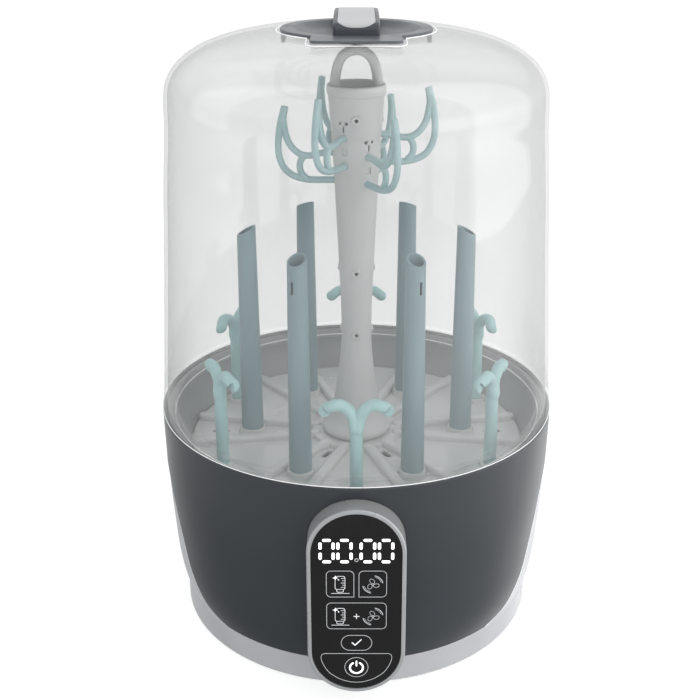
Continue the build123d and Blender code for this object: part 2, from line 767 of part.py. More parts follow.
def thermostat():
    centre_y = 19.0
    z_body = 92.6
    with BuildPart() as switch:
        with BuildSketch(Plane.XY.offset(z_body)):
            with Locations((0, centre_y)):
                Circle(7.0)
        extrude(amount=Z_HOT_UNDER - z_body)
        # two blades
        with BuildSketch(Plane.XY.offset(87.0)):
            with Locations((-3.0, centre_y), (3.0, centre_y)):
                Rectangle(0.8, 5.0)
        extrude(amount=6.0)
    return switch.part


def thermal_fuse():
    fuse_r, fuse_l = 2.0, 14.0
    with BuildPart() as fuse:
        with BuildSketch(Plane.YZ.offset(-fuse_l / 2)):
            with Locations((-19.0, Z_HOT_UNDER - fuse_r)):
                Circle(fuse_r)
        extrude(amount=fuse_l)
    return fuse.part


# --- base casings ---

def front_shell():
    lip_rz = [(139.85, 156.0), (139.3, Z_RIM), (137.6, Z_RIM), (137.2, Z_RIM - 0.4),
              (137.2, 154.2)]
    outer = BODY_RZ[:-1]
    inner = inset(outer, SHELL_WALL)
    with BuildPart() as shell:
        with BuildSketch(Plane.XZ):
            with BuildLine():
                Spline(*outer, lip_rz[0])
                Polyline(*lip_rz)
                Spline(lip_rz[-1], *inner[::-1])
                Line(inner[0], outer[0])
            make_face()
        revolve(axis=Axis.Z)
        with BuildSketch(Plane.YZ):
            with BuildLine():
                seam_outline(SEAM_YZ, z_rear=121.0, z_top=170.0, z_front=18.5)
            make_face()
        extrude(amount=160, both=True, mode=Mode.INTERSECT)
        with BuildSketch(PANEL_PLANE.offset(10)):
            panel_stadium(PANEL_GAP)
        extrude(amount=-60, mode=Mode.SUBTRACT)
    return shell.part


def rear_shell():
    seam = [(y + 0.35, z - 0.25) for y, z in SEAM_YZ]
    with BuildPart() as shell:
        with BuildSketch(Plane.XZ):
            with BuildLine():
                band_outline(inset(BODY_RZ, REAR_INSET), inset(BODY_RZ, REAR_INSET + SHELL_WALL))
            make_face()
        revolve(axis=Axis.Z)
        # keep only what lies outside the front shell's outline, with a fine gap
        with BuildSketch(Plane.YZ):
            with BuildLine():
                seam_outline(seam, z_rear=120.6, z_top=180.0, z_front=18.2)
            make_face()
        extrude(amount=160, both=True, mode=Mode.SUBTRACT)
        # filter opening
        with BuildSketch(rear_plane(90)):
            RectangleRounded(FILTER_W + 0.8, FILTER_H + 0.8, 6.4)
        extrude(amount=60, mode=Mode.SUBTRACT)
        # mains inlet opening
        with BuildSketch(outward_plane(INLET_AZ, 110, INLET_Z)):
            Rectangle(28.0, 20.0)
        extrude(amount=40, mode=Mode.SUBTRACT)
    return shell.part


def plinth_ring():
    r_inner, z_inner = 125.0, 4.2
    with BuildPart() as ring:
        with BuildSketch(Plane.XZ):
            with BuildLine():
                Polyline((r_inner, z_inner), (124.2, z_inner), (124.2, 0.8), (125.8, 0.8))
                ThreePointArc((125.8, 0.8), (127.4, 1.5), (128.05, 3.2))
                Polyline((128.05, 3.2), (R_PLINTH, Z_PLINTH - 0.4), (127.8, Z_PLINTH),
                         (r_inner, Z_PLINTH), (r_inner, z_inner))
            make_face()
        revolve(axis=Axis.Z)
        with BuildSketch(PANEL_PLANE.offset(10)):
            panel_stadium(PANEL_GAP)
        extrude(amount=-45, mode=Mode.SUBTRACT)
    return ring.part


# --- control panel: depths run behind the panel plane ---

def panel_bezel():
    pillar_depth = 2.8
    # everything inside this turned outline goes, so that the bezel clears base and tub
    clear_rz = [(0, -5), (123.5, -5), (123.5, 106.0), (136.9, 113.0), (136.9, 175.0),
                (0, 175.0), (0, -5)]
    with BuildPart() as bezel:
        with BuildSketch(PANEL_PLANE):
            panel_stadium()
        extrude(amount=-34.0)
        with BuildSketch(Plane.XZ):
            with BuildLine():
                Polyline(*clear_rz)
            make_face()
        revolve(axis=Axis.Z, mode=Mode.SUBTRACT)
        # window recess, opening inside the ledge, space behind the ledge
        with BuildSketch(PANEL_PLANE.offset(1)):
            panel_stadium(-BEZEL_WALL)
        extrude(amount=-3.6, mode=Mode.SUBTRACT)
        with BuildSketch(PANEL_PLANE.offset(1)):
            panel_stadium(-BEZEL_WALL - BEZEL_LEDGE)
        extrude(amount=-40, mode=Mode.SUBTRACT)
        with BuildSketch(PANEL_PLANE.offset(-4.6)):
            panel_stadium(-BEZEL_WALL)
        extrude(amount=-40, mode=Mode.SUBTRACT)
        fillet(bezel.faces().sort_by(Axis.Y)[0].outer_wire().edges(), 1.1)
        # screw pillars of the touch board, behind the ledge
        with BuildSketch(PANEL_PLANE.offset(-pillar_depth)):
            with Locations((24.4, 30.0), (-24.4, 30.0), (24.4, -30.0), (-24.4, -30.0)):
                Rectangle(9.4, 6.0)
        extrude(amount=-(TOUCH_DEPTH - pillar_depth))
        with BuildSketch(PANEL_PLANE.offset(-4.6)):
            with Locations(*PANEL_SCREWS):
                Circle(0.95)
        extrude(amount=-6.0, mode=Mode.SUBTRACT)
    return bezel.part


def panel_lens():
    with BuildPart() as lens:
        with BuildSketch(PANEL_PLANE.offset(-0.5)):
            panel_stadium(-BEZEL_WALL - 0.1)
        extrude(amount=-2.1)
        fillet(lens.faces().sort_by(Axis.Y)[0].outer_wire().edges(), 0.4)
    return lens.part


def touch_board():
    with BuildPart() as board:
        with BuildSketch(PANEL_PLANE.offset(-TOUCH_DEPTH)):
            RectangleRounded(51.0, 100.0, 12.0)
            with Locations(*PANEL_SCREWS):
                Circle(1.1, mode=Mode.SUBTRACT)
        extrude(amount=-TOUCH_BOARD_T)
    return board.part


def display_module():
    front_depth = 3.4
    with BuildPart() as display:
        with BuildSketch(PANEL_PLANE.offset(-front_depth)):
            with Locations((0, 42.5)):
                Rectangle(40.0, 17.0)
        extrude(amount=-(TOUCH_DEPTH - front_depth))
    return display.part


def touch_pads():
    """Springs of the capacitive keys, between board and window."""
    front_depth = 3.2
    with BuildPart() as pads:
        with BuildSketch(PANEL_PLANE.offset(-front_depth)):
            with Locations((-10.4, 15.5), (10.4, 15.5), (0, -5.5), (0, -20.5), (0, -35.5)):
                Circle(4.6)
                Circle(3.6, mode=Mode.SUBTRACT)
        extrude(amount=-(TOUCH_DEPTH - front_depth))
    return pads.part


def panel_screws():
    planes = [Plane(origin=(x, PANEL_Y, PANEL_Z + z), x_dir=(1, 0, 0), z_dir=(0, -1, 0))
              for x, z in PANEL_SCREWS]
    return screws(planes, head=(1.9, -TOUCH_DEPTH - TOUCH_BOARD_T, -1.3), shank=(0.9, -5.0, -6.0))


# --- bottom plate, foot ring ---

def bottom_plate():
    z_sunk = Z_PLATE + 2.0     # bosses start inside the plate
    with BuildPart() as plate:
        with BuildSketch(Plane.XY.offset(Z_PLATE)):
            Circle(123.6)
        extrude(amount=2.5)
        # thicker band with a groove for the foot ring
        with BuildSketch(Plane.XY.offset(Z_PLATE)):
            Circle(R_FOOT_OUT + 3)
            Circle(R_FOOT_IN - 3, mode=Mode.SUBTRACT)
        extrude(amount=4.5)
        with BuildSketch(Plane.XY.offset(Z_PLATE)):
            Circle(R_FOOT_OUT + 0.05)
            Circle(R_FOOT_IN - 0.05, mode=Mode.SUBTRACT)
        extrude(amount=1.6, mode=Mode.SUBTRACT)
        # bosses of the mains board and the fan
        with BuildSketch(Plane.XY.offset(z_sunk)):
            with Locations(*BOARD_HOLES):
                Circle(3.4)
        extrude(amount=Z_BOARD - z_sunk)
        with BuildSketch(Plane.XY.offset(z_sunk)):
            with Locations(*FAN_TABS):
                Circle(3.6)
        extrude(amount=Z_FAN - z_sunk)
        with BuildSketch(Plane.XY.offset(Z_PLATE + 2.4)):
            with Locations(*BOARD_HOLES, *FAN_TABS):
                Circle(1.1)
        extrude(amount=12.0, mode=Mode.SUBTRACT)
        # casing screws: counterbored from below
        with BuildSketch(Plane.XY.offset(Z_PLATE - 1)):
            with Locations(*COLUMNS):
                Circle(1.7)
        extrude(amount=6.0, mode=Mode.SUBTRACT)
        with BuildSketch(Plane.XY.offset(Z_PLATE)):
            with Locations(*COLUMNS):
                Circle(3.4)
        extrude(amount=1.5, mode=Mode.SUBTRACT)
        # cooling slots
        with BuildSketch(Plane.XY.offset(Z_PLATE - 1)):
            with Locations((45.0, -50.0)):
                with GridLocations(0, 7.0, 1, 6):
                    SlotOverall(34.0, 3.0)
        extrude(amount=6.0, mode=Mode.SUBTRACT)
    return plate.part


def foot_ring():
    with BuildPart() as ring:
        with BuildSketch(Plane.XY):
            Circle(R_FOOT_OUT)
            Circle(R_FOOT_IN, mode=Mode.SUBTRACT)
        extrude(amount=3.1)
    return ring.part


def casing_screws():
    head_h = 1.3
    z_bracket_head = Z_BRACKET_TOP - BRACKET_T - head_h
    planes = [Plane(origin=(x, y, Z_PLATE + 0.2)) for x, y in COLUMNS]
    planes += [Plane(origin=(x, y, z_bracket_head)) for x, y in BRACKET_SCREWS]
    return screws(planes, head=(3.1, 0, head_h), shank=(1.3, 1.1, 10.5))


# --- mains board ---

def power_board():
    with BuildPart() as board:
        with BuildSketch(Plane.XY.offset(Z_BOARD)):
            with Locations((BOARD_X, BOARD_Y)):
                RectangleRounded(70.0, 70.0, 2.0)
            with Locations(*BOARD_HOLES):
                Circle(1.5, mode=Mode.SUBTRACT)
        extrude(amount=BOARD_T)
    return board.part


def board_parts():
    on_board = (Align.CENTER, Align.CENTER, Align.MIN)
    # place from the board centre (x, y), then size (x, y, z)
    boxes = [
        ((-14, 12), (26, 22, 20)),      # transformer
        ((-18, -16), (20, 12, 15)),     # relay
        ((6, -18), (14, 9, 9)),         # connector
        ((22, -20), (8, 8, 10)),        # terminal
    ]
    with BuildPart() as components:
        for (x, y), size in boxes:
            with Locations((BOARD_X + x, BOARD_Y + y, Z_BOARD_TOP)):
                Box(*size, align=on_board)
        # two capacitors
        for y in (14, -2):
            with Locations((BOARD_X + 18, BOARD_Y + y, Z_BOARD_TOP)):
                Cylinder(5.5, 17, align=on_board)
    return components.part


def inner_screws():
    """Screws of the mains board and of the fan housing."""
    planes = [Plane(origin=(x, y, Z_BOARD_TOP)) for x, y in BOARD_HOLES]
    planes += [Plane(origin=(x, y, Z_FAN + TAB_T)) for x, y in FAN_TABS]
    return screws(planes, head=(2.5, 0, 1.6), shank=(1.05, -7.2, 7.6))


# --- drying fan, heater, duct, filter ---

def fan_housing():
    with BuildPart() as housing:
        # scroll with its outlet toward -X
        with BuildSketch(Plane.XY.offset(Z_FAN)):
            with Locations(FAN_AXIS):
                Circle(R_FAN)
            with Locations((-30.0, OUTLET_Y)):
                Rectangle(60.0, OUTLET_W)
        extrude(amount=FAN_H)
        with BuildSketch(Plane.XY.offset(Z_FAN + FAN_WALL)):
            with Locations(FAN_AXIS):
                Circle(R_FAN - FAN_WALL)
            with Locations((-32.0, OUTLET_Y)):
                Rectangle(64.0, OUTLET_BORE_W)
        extrude(amount=OUTLET_BORE_H, mode=Mode.SUBTRACT)
        # tabs
        with BuildSketch(Plane.XY.offset(Z_FAN)):
            for x, y in FAN_TABS:
                with Locations((x, y)):
                    Circle(4.4)
                with Locations((x * 0.93, FAN_Y + (y - FAN_Y) * 0.93)):
                    Circle(4.4)
            with Locations(FAN_AXIS):
                Circle(R_FAN - 1.0, mode=Mode.SUBTRACT)
        extrude(amount=TAB_T)
        # screw holes and the opening in the underside
        with BuildSketch(Plane.XY.offset(Z_FAN - 1)):
            with Locations(*FAN_TABS):
                Circle(1.4)
            with Locations(FAN_AXIS):
                Circle(23.0)
        extrude(amount=4.0, mode=Mode.SUBTRACT)
        # hole on the fan axis in the top
        with BuildSketch(Plane.XY.offset(40.0)):
            with Locations(FAN_AXIS):
                Circle(7.0)
        extrude(amount=12.0, mode=Mode.SUBTRACT)
    return housing.part


def fan_impeller():
    with BuildPart() as impeller:
        # top disc, bottom ring, blades, hub, bore
        with BuildSketch(Plane.XY.offset(40.0)):
            with Locations(FAN_AXIS):
                Circle(R_IMPELLER)
        extrude(amount=1.8)
        with BuildSketch(Plane.XY.offset(18.4)):
            with Locations(FAN_AXIS):
                Circle(R_IMPELLER)
                Circle(27.5, mode=Mode.SUBTRACT)
        extrude(amount=1.4)
        with BuildSketch(Plane.XY.offset(19.0)):
            with Locations(FAN_AXIS):
                with PolarLocations(31.5, 24):
                    Rectangle(8.0, 1.1, rotation=28)
        extrude(amount=21.5)
        with BuildSketch(Plane.XY.offset(26.0)):
            with Locations(FAN_AXIS):
                Circle(6.0)
        extrude(amount=15.0)
        with BuildSketch(Plane.XY.offset(20.0)):
            with Locations(FAN_AXIS):
                Circle(2.0)
        extrude(amount=30.0, mode=Mode.SUBTRACT)
    return impeller.part


def motor_shaft():
    with BuildPart() as shaft:
        with BuildSketch(Plane.XY.offset(25.0)):
            with Locations(FAN_AXIS):
                Circle(2.0)
        extrude(amount=43.0)
        chamfer(shaft.edges().filter_by(GeomType.CIRCLE), 0.3)
    return shaft.part


def fan_motor():
    z_motor = Z_FAN + FAN_H
    with BuildPart() as motor:
        with BuildSketch(Plane.XY.offset(z_motor)):
            with Locations(FAN_AXIS):
                Circle(18.0)
        extrude(amount=26.0)
        fillet(motor.faces().sort_by(Axis.Z)[-1].edges(), 2.5)
        with BuildSketch(Plane.XY.offset(z_motor - 1)):
            with Locations(FAN_AXIS):
                Circle(2.05)
        extrude(amount=22.0, mode=Mode.SUBTRACT)
    return motor.part


def air_heater():
    with BuildPart() as heater:
        with Locations((HEATER_X, OUTLET_Y, Z_OUTLET)):
            Box(23.0, OUTLET_W, FAN_H)
            Box(30.0, 21.0, 29.0, mode=Mode.SUBTRACT)
            # upright fins
            with GridLocations(0, 3.5, 1, 6):
                Box(17.0, 1.0, 29.4)
    return heater.part


def air_duct():
    duct_h = Z_TUB_UNDER - Z_FAN
    with BuildPart() as duct:
        with BuildSketch(Plane.XY.offset(Z_FAN)):
            with Locations((DUCT_X, OUTLET_Y)):
                Rectangle(DUCT_L, OUTLET_W)
        extrude(amount=duct_h)
        with BuildSketch(Plane.XY.offset(Z_FAN + FAN_WALL)):
            with Locations((DUCT_X, OUTLET_Y)):
                Rectangle(DUCT_L - 2 * FAN_WALL, OUTLET_BORE_W)
        extrude(amount=duct_h, mode=Mode.SUBTRACT)
        # opening toward the heater
        with BuildSketch(Plane.YZ.offset(-88.0)):
            with Locations((OUTLET_Y, Z_OUTLET)):
                Rectangle(OUTLET_BORE_W, OUTLET_BORE_H)
        extrude(amount=8.0, mode=Mode.SUBTRACT)
    return duct.part


def filter_cover():
    with BuildPart() as cover:
        with BuildSketch(Plane.XZ):
            with BuildLine():
                band_outline(inset(BODY_RZ[:4], -0.4), inset(BODY_RZ[:4], 2.4))
            make_face()
        revolve(axis=Axis.Z)
        with BuildSketch(rear_plane(90)):
            RectangleRounded(FILTER_W, FILTER_H, 6.0)
        extrude(amount=60, mode=Mode.INTERSECT)
        # intake slots
        with BuildSketch(rear_plane(100)):
            with GridLocations(0, 6.2, 1, 7):
                SlotOverall(58.0, 2.8)
        extrude(amount=50, mode=Mode.SUBTRACT)
        # frame that carries the filter
        with BuildSketch(rear_plane(104)):
            Rectangle(68.0, 48.0)
            Rectangle(64.4, 44.4, mode=Mode.SUBTRACT)
        extrude(amount=24.0)
    return cover.part


def hepa_filter():
    pleat_h = 44.0
    # zigzag seen from above, (x, y), with a second one behind it
    front = [(-32.0 + 4.0 * i, 104.4 if i % 2 == 0 else 118.0) for i in range(17)]
    back = [(x, y + 1.6) for x, y in front[::-1]]
    with BuildPart() as pleats:
        with BuildSketch(Plane.XY.offset(FILTER_Z - pleat_h / 2)):
            with BuildLine():
                Polyline(*front, *back, front[0])
            make_face()
        extrude(amount=pleat_h)
        with BuildSketch(rear_plane(104.2)):
            Rectangle(64.2, 44.2)
            Rectangle(60.0, 40.0, mode=Mode.SUBTRACT)
        extrude(amount=15.6)
    return pleats.part


# --- mains inlet and wires ---

def power_inlet():
    with BuildPart() as inlet:
        # body, outer flange, socket
        with BuildSketch(outward_plane(INLET_AZ, 112.0, INLET_Z)):
            RectangleRounded(27.4, 19.4, 2.0)
        extrude(amount=22.6)
        with BuildSketch(outward_plane(INLET_AZ, 134.4, INLET_Z)):
            RectangleRounded(31.6, 23.6, 3.0)
        extrude(amount=1.8)
        with BuildSketch(outward_plane(INLET_AZ, 117.0, INLET_Z)):
            RectangleRounded(24.0, 16.0, 3.0)
        extrude(amount=24.0, mode=Mode.SUBTRACT)
    return inlet.part


def inlet_pins():
    with BuildPart() as pins:
        with BuildSketch(outward_plane(INLET_AZ, 117.0, INLET_Z)):
            with Locations((-7.0, -1.8), (7.0, -1.8), (0, 2.2)):
                Rectangle(2.0, 4.0)
        extrude(amount=14.0)
    return pins.part


INLET_BACK = polar(INLET_AZ, 110.6)
# each wire: (x, y, z) points from end to end
WIRES = [
    # mains inlet to board
    [(*INLET_BACK, 44.0), (58.0, 62.0, 42.0), (57.0, 12.0, 36.0), (34.0, -30.0, 33.0),
     (-1.0, -48.0, 35.0)],
    [(*INLET_BACK, 36.0), (60.0, 60.0, 34.0), (60.0, 8.0, 26.0), (34.0, -50.0, 24.0),
     (4.0, -78.0, 24.0)],
    # board to heating element
    [(-38.0, -58.0, 35.0), (-30.0, -50.0, 60.0), (-14.0, -34.0, 82.0), (-12.0, -32.0, 86.4)],
    [(-32.0, -46.0, 35.0), (-6.0, -38.0, 62.0), (10.0, -33.0, 82.0), (12.0, -32.0, 86.4)],
    # board to fan motor
    [(-46.0, -48.0, 35.0), (-24.0, -14.0, 62.0), (-10.0, 20.0, 84.0), (-6.0, 40.0, 83.0),
     (-6.0, FAN_Y, 75.6)],
    # board to control panel
    [(-21.0, -90.0, 22.0), (-14.0, -108.0, 30.0), (-6.0, -124.0, 44.0), (-4.0, -136.0, 58.0),
     (-4.0, -140.0, 66.0)],
    # board to air heater
    [(-56.0, -48.0, 35.0), (-66.0, -32.0, 42.0), (-71.0, -12.0, 42.0), (HEATER_X, 0.2, 36.0)],
]


def wiring_loom():
    with BuildPart() as loom:
        for points in WIRES:
            with BuildLine() as wire:
                Spline(*points)
            with BuildSketch(start_plane(wire.line)):
                Circle(1.0)
            sweep(path=wire.line)
    return loom.part


# --- build and save: each single piece is named after its function ---

SINGLE_PIECES = [
    clear_dome, handle_dish, handle_bridge, handle_inlay, handle_screws, handle_clips,
    rack_tray, drying_tower, well_tub, air_grille,
    plate_seal, heating_plate, heating_element, plate_bracket, thermostat, thermal_fuse,
    front_shell, rear_shell, plinth_ring,
    panel_bezel, panel_lens, touch_board, display_module, touch_pads, panel_screws,
    bottom_plate, foot_ring, casing_screws, power_board, board_parts, inner_screws,
    fan_housing, fan_impeller, motor_shaft, fan_motor, air_heater, air_duct,
    filter_cover, hepa_filter, power_inlet, inlet_pins, wiring_loom,
]
for build in SINGLE_PIECES:
    save(build(), build.__name__)

hook_blank = hook_model()
peg_blank = peg_model()
for i in range(6):
    save(placed_hook(hook_blank, i), f"hook_{i + 1}")
    save(bottle_post(60.0 * i), f"post_{i + 1}")
    save(placed_peg(peg_blank, i), f"peg_{i + 1}")
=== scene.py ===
"""Bottle steriliser and dryer under a tall clear cover, dressed for a studio picture.

It stands on Z = 0 and is centred on the Z axis. The control window faces the front (-Y) and +X is
to the right. Meshes are laid out in millimetres and turned to metres in piece(); materials,
lights and camera are in metres.
"""

import bpy
import bmesh
import math
import numpy as np
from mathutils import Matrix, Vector


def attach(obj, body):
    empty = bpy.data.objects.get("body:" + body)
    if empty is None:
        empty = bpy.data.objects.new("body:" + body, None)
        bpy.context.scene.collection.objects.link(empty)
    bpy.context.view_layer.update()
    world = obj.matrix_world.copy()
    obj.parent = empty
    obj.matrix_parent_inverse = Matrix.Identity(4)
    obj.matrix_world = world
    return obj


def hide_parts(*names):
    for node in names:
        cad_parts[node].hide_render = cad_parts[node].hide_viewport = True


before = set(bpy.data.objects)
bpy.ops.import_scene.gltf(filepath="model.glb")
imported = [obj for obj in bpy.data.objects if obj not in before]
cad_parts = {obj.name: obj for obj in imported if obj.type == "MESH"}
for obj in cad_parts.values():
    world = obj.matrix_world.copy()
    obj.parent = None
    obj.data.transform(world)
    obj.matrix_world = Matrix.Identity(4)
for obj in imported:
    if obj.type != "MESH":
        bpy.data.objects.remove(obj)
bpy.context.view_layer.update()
MM = 0.001
scene = bpy.context.scene
collection = scene.collection

# ---------------------------------------------------------------------------
# shader graphs
# ---------------------------------------------------------------------------
WHITE = (1, 1, 1, 1)


class ShaderGraph:
    """The node tree of a material or world, with short calls to add and join nodes."""

    def __init__(self, owner, output="ShaderNodeOutputMaterial"):
        owner.use_nodes = True
        self.owner = owner
        self.tree = owner.node_tree
        self.tree.nodes.clear()
        self.output = self.add(output)

    def feed(self, socket, value):
        """Link a socket to another, or set its value; None leaves it alone."""
        if isinstance(value, bpy.types.NodeSocket):
            self.tree.links.new(value, socket)
        elif value is not None:
            socket.default_value = value

    def add(self, kind, inputs=None, **settings):
        """New node; inputs maps a socket's name or index to a value or another socket."""
        node = self.tree.nodes.new(kind)
        for key, value in settings.items():
            setattr(node, key, value)
        for key, value in (inputs or {}).items():
            self.feed(node.inputs[key], value)
        return node

    def math(self, operation, a, b=None, clamp=False):
        node = self.add("ShaderNodeMath", {0: a, 1: b}, operation=operation, use_clamp=clamp)
        return node.outputs[0]

    def span(self, value, low=0.0, high=1.0, start=0.35, end=0.65, curve="LINEAR"):
        """Map value from start..end to low..high."""
        node = self.add("ShaderNodeMapRange", {
            "Value": value, "From Min": start, "From Max": end, "To Min": low, "To Max": high,
        }, interpolation_type=curve)
        return node.outputs["Result"]

    def mix_colour(self, factor, a, b):
        node = self.add("ShaderNodeMix", data_type="RGBA")
        for index, value in ((0, factor), (6, a), (7, b)):
            self.feed(node.inputs[index], value)
        return node.outputs[2]

    def mix_shader(self, factor, a, b):
        return self.add("ShaderNodeMixShader", {0: factor, 1: a, 2: b}).outputs[0]

    def dot(self, a, b):
        node = self.add("ShaderNodeVectorMath", {0: a, 1: b}, operation="DOT_PRODUCT")
        return node.outputs["Value"]

    def finish(self, shader):
        self.feed(self.output.inputs["Surface"], shader)
        return self.owner


class ObjectMaterial(ShaderGraph):
    """Material whose textures follow object coordinates."""

    def __init__(self, name):
        super().__init__(bpy.data.materials.new(name))
        self.coords = self.add("ShaderNodeTexCoord").outputs["Object"]

    def noise(self, scale, detail, rough, stretch=None):
        vector = self.coords
        if stretch:
            mapping = self.add("ShaderNodeMapping", {"Vector": vector, "Scale": stretch})
            vector = mapping.outputs["Vector"]
        node = self.add("ShaderNodeTexNoise", {
            "Vector": vector, "Scale": scale, "Detail": detail, "Roughness": rough})
        return node.outputs["Fac"]

    def drift(self, base, tone, scale, detail, rough):
        """Base colour wandering by a share of tone either way."""
        noise = self.noise(scale, detail, rough)
        return self.mix_colour(self.span(noise), shade(base, 1 - tone), shade(base, 1 + tone))

    def bump(self, height, strength, distance=0.0002, normal=None):
        node = self.add("ShaderNodeBump", {
            "Strength": strength, "Distance": distance, "Height": height, "Normal": normal})
        return node.outputs["Normal"]


def linear(srgb):
    """sRGB 0-255 to linear."""
    shares = [channel / 255.0 for channel in srgb]
    return [c / 12.92 if c <= 0.04045 else ((c + 0.055) / 1.055) ** 2.4 for c in shares]


def shade(colour, gain=1.0):
    """RGBA of a linear colour made lighter or darker."""
    return tuple(min(channel * gain, 1.0) for channel in colour) + (1.0,)


# ---------------------------------------------------------------------------
# kinds of material
# ---------------------------------------------------------------------------


def plastic(name, srgb, rough=0.4, rough_var=0.06, tone=0.03, grain=1500.0, bump=0.12, ior=1.46,
            metallic=0.0, coat=0.0, coat_rough=0.08, bevel=0.0, edge_wear_and_sheen=0.0, spec=0.5, flake=0.0,
            subsurface=0.0, speck=0.0):
    """Moulded or painted plastic: slow tone drift, fine grain, uneven gloss.

    grain is the scale of the fine noise and bump its strength; bevel is the radius in metres of
    softened edges, and the share after it how far they are made pale, partly as rubbed wear
    and partly as a painted edge highlight; flake adds bright and speck dark grains.
    """
    graph = ObjectMaterial(name)
    base = linear(srgb)
    fine = graph.noise(scale=grain, detail=2.0, rough=0.6)
    colour = graph.drift(base, tone, scale=16.0, detail=3.0, rough=0.5)
    if flake:
        flakes = graph.noise(scale=grain * 1.7, detail=1.0, rough=0.5)
        amount = graph.span(flakes, high=flake, start=0.45, end=0.75)
        colour = graph.mix_colour(amount, colour, shade(base, 1.5))
    if speck:
        specks = graph.noise(scale=420.0, detail=2.0, rough=0.6)
        amount = graph.span(specks, high=speck, start=0.5, end=0.8)
        colour = graph.mix_colour(amount, colour, shade(base, 0.7))

    normal = None
    if bevel:
        soft = graph.add("ShaderNodeBevel", {"Radius": bevel}, samples=4)
        normal = soft.outputs["Normal"]
        # edges made pale: partly rubbed wear, partly painted edge highlight
        if edge_wear_and_sheen:
            geometry = graph.add("ShaderNodeNewGeometry")
            flatness = graph.dot(geometry.outputs["Normal"], normal)
            edge = graph.span(flatness, low=edge_wear_and_sheen, high=0.0, start=0.80, end=0.99)
            patches = graph.noise(scale=160.0, detail=4.0, rough=0.7)
            wear_and_sheen_mask = graph.math("MULTIPLY", edge, graph.span(patches, low=0.15, end=0.6))
            colour = graph.mix_colour(wear_and_sheen_mask, colour, shade(base, 1.9))

    smudges = graph.noise(scale=38.0, detail=4.0, rough=0.6)
    surface = graph.add("ShaderNodeBsdfPrincipled", {
        "Base Color": colour,
        "Roughness": graph.span(smudges, rough - rough_var, rough + rough_var),
        "Metallic": metallic,
        "IOR": ior,
        "Specular IOR Level": spec,
        "Coat Weight": coat,
        "Coat Roughness": coat_rough,
        "Normal": graph.bump(fine, strength=bump, normal=normal),
    })
    if subsurface:
        surface.inputs["Subsurface Weight"].default_value = subsurface
        surface.inputs["Subsurface Radius"].default_value = (1.0, 1.0, 1.0)
        surface.inputs["Subsurface Scale"].default_value = 0.0015
    return graph.finish(surface.outputs[0])


def metal(name, srgb, rough=0.3, brush=None, grain=900.0, bump=0.1):
    """Bare or plated metal; brush stretches its noise into brushing marks."""
    graph = ObjectMaterial(name)
    gloss = graph.noise(scale=90.0, detail=4.0, rough=0.6, stretch=brush)
    skin = graph.noise(scale=grain, detail=2.0, rough=0.6, stretch=brush)
    surface = graph.add("ShaderNodeBsdfPrincipled", {
        "Metallic": 1.0,
        "Base Color": graph.drift(linear(srgb), tone=0.05, scale=60.0, detail=4.0, rough=0.6),
        "Roughness": graph.span(gloss, rough - 0.07, rough + 0.1),
        "Normal": graph.bump(skin, strength=bump),
    })
    return graph.finish(surface.outputs[0])


def ink(name, srgb, glow, tone=0.06):
    """Printed or back-lit marks, and painted highlights that glow on edges: lit colour with a
    slightly uneven density.
    """
    graph = ObjectMaterial(name)
    colour = graph.drift(linear(srgb), tone, scale=220.0, detail=3.0, rough=0.6)
    density = graph.noise(scale=90.0, detail=2.0, rough=0.5)
    surface = graph.add("ShaderNodeBsdfPrincipled", {
        "Roughness": 0.3,
        "Base Color": colour,
        "Emission Color": colour,
        "Emission Strength": graph.span(density, glow * 0.95, glow * 1.05),
    })
    return graph.finish(surface.outputs[0])


def clear_plastic(name):
    """Thin clear plastic: pale grey tint, faint haze, sharp reflection, fine handling marks."""
    tint, foot_tint = 0.925, 0.985      # light let through by the wall, and by the foot and lip
    tint_var = 0.003
    foot_z = (0.1594, 0.1620)           # height over which foot tint gives way to wall tint
    haze = 0.035
    rim_haze, rim_dark = 0.10, 0.10     # added haze and darkening at grazing angles
    fresnel_facing, fresnel_rim = 0.042, 0.55
    green_lift = 0.001

    graph = ObjectMaterial(name)
    # the absolute value makes both sides of the wall behave alike
    geometry = graph.add("ShaderNodeNewGeometry")
    dot = graph.dot(geometry.outputs["Normal"], geometry.outputs["Incoming"])
    away = graph.math("SUBTRACT", 1.0, graph.math("ABSOLUTE", dot))
    rim = graph.math("POWER", away, 5.0)
    fresnel = graph.math("ADD", graph.math("MULTIPLY", rim, fresnel_rim), fresnel_facing)

    # the foot and lip are cleaner than the thin wall
    patches = graph.noise(scale=9.0, detail=2.0, rough=0.5)
    patchy = graph.span(patches, tint - tint_var, tint + tint_var)
    height = graph.add("ShaderNodeSeparateXYZ", {0: graph.coords}).outputs[2]
    low_down = graph.span(height, low=1.0, high=0.0, start=foot_z[0], end=foot_z[1])
    patchy = graph.math("ADD", patchy, graph.math("MULTIPLY", low_down, foot_tint - tint))
    clear = graph.math("SUBTRACT", patchy, graph.math("MULTIPLY", rim, rim_dark))
    colour = graph.add("ShaderNodeCombineColor", {
        0: clear, 1: graph.math("ADD", clear, green_lift), 2: clear})
    through = graph.add("ShaderNodeBsdfTransparent", {"Color": colour.outputs["Color"]})

    fog = graph.add("ShaderNodeBsdfTranslucent", {"Color": (0.62, 0.63, 0.63, 1)})
    fog_share = graph.math("ADD", graph.math("MULTIPLY", rim, rim_haze), haze, clamp=True)
    body = graph.mix_shader(fog_share, through.outputs[0], fog.outputs[0])

    marks = graph.noise(scale=60.0, detail=4.0, rough=0.6)
    ripple = graph.noise(scale=26.0, detail=2.0, rough=0.5)
    gloss = graph.add("ShaderNodeBsdfGlossy", {
        "Color": WHITE,
        "Roughness": graph.span(marks, 0.015, 0.05),
        "Normal": graph.bump(ripple, strength=0.03, distance=0.0004),
    })
    return graph.finish(graph.mix_shader(fresnel, body, gloss.outputs[0]))


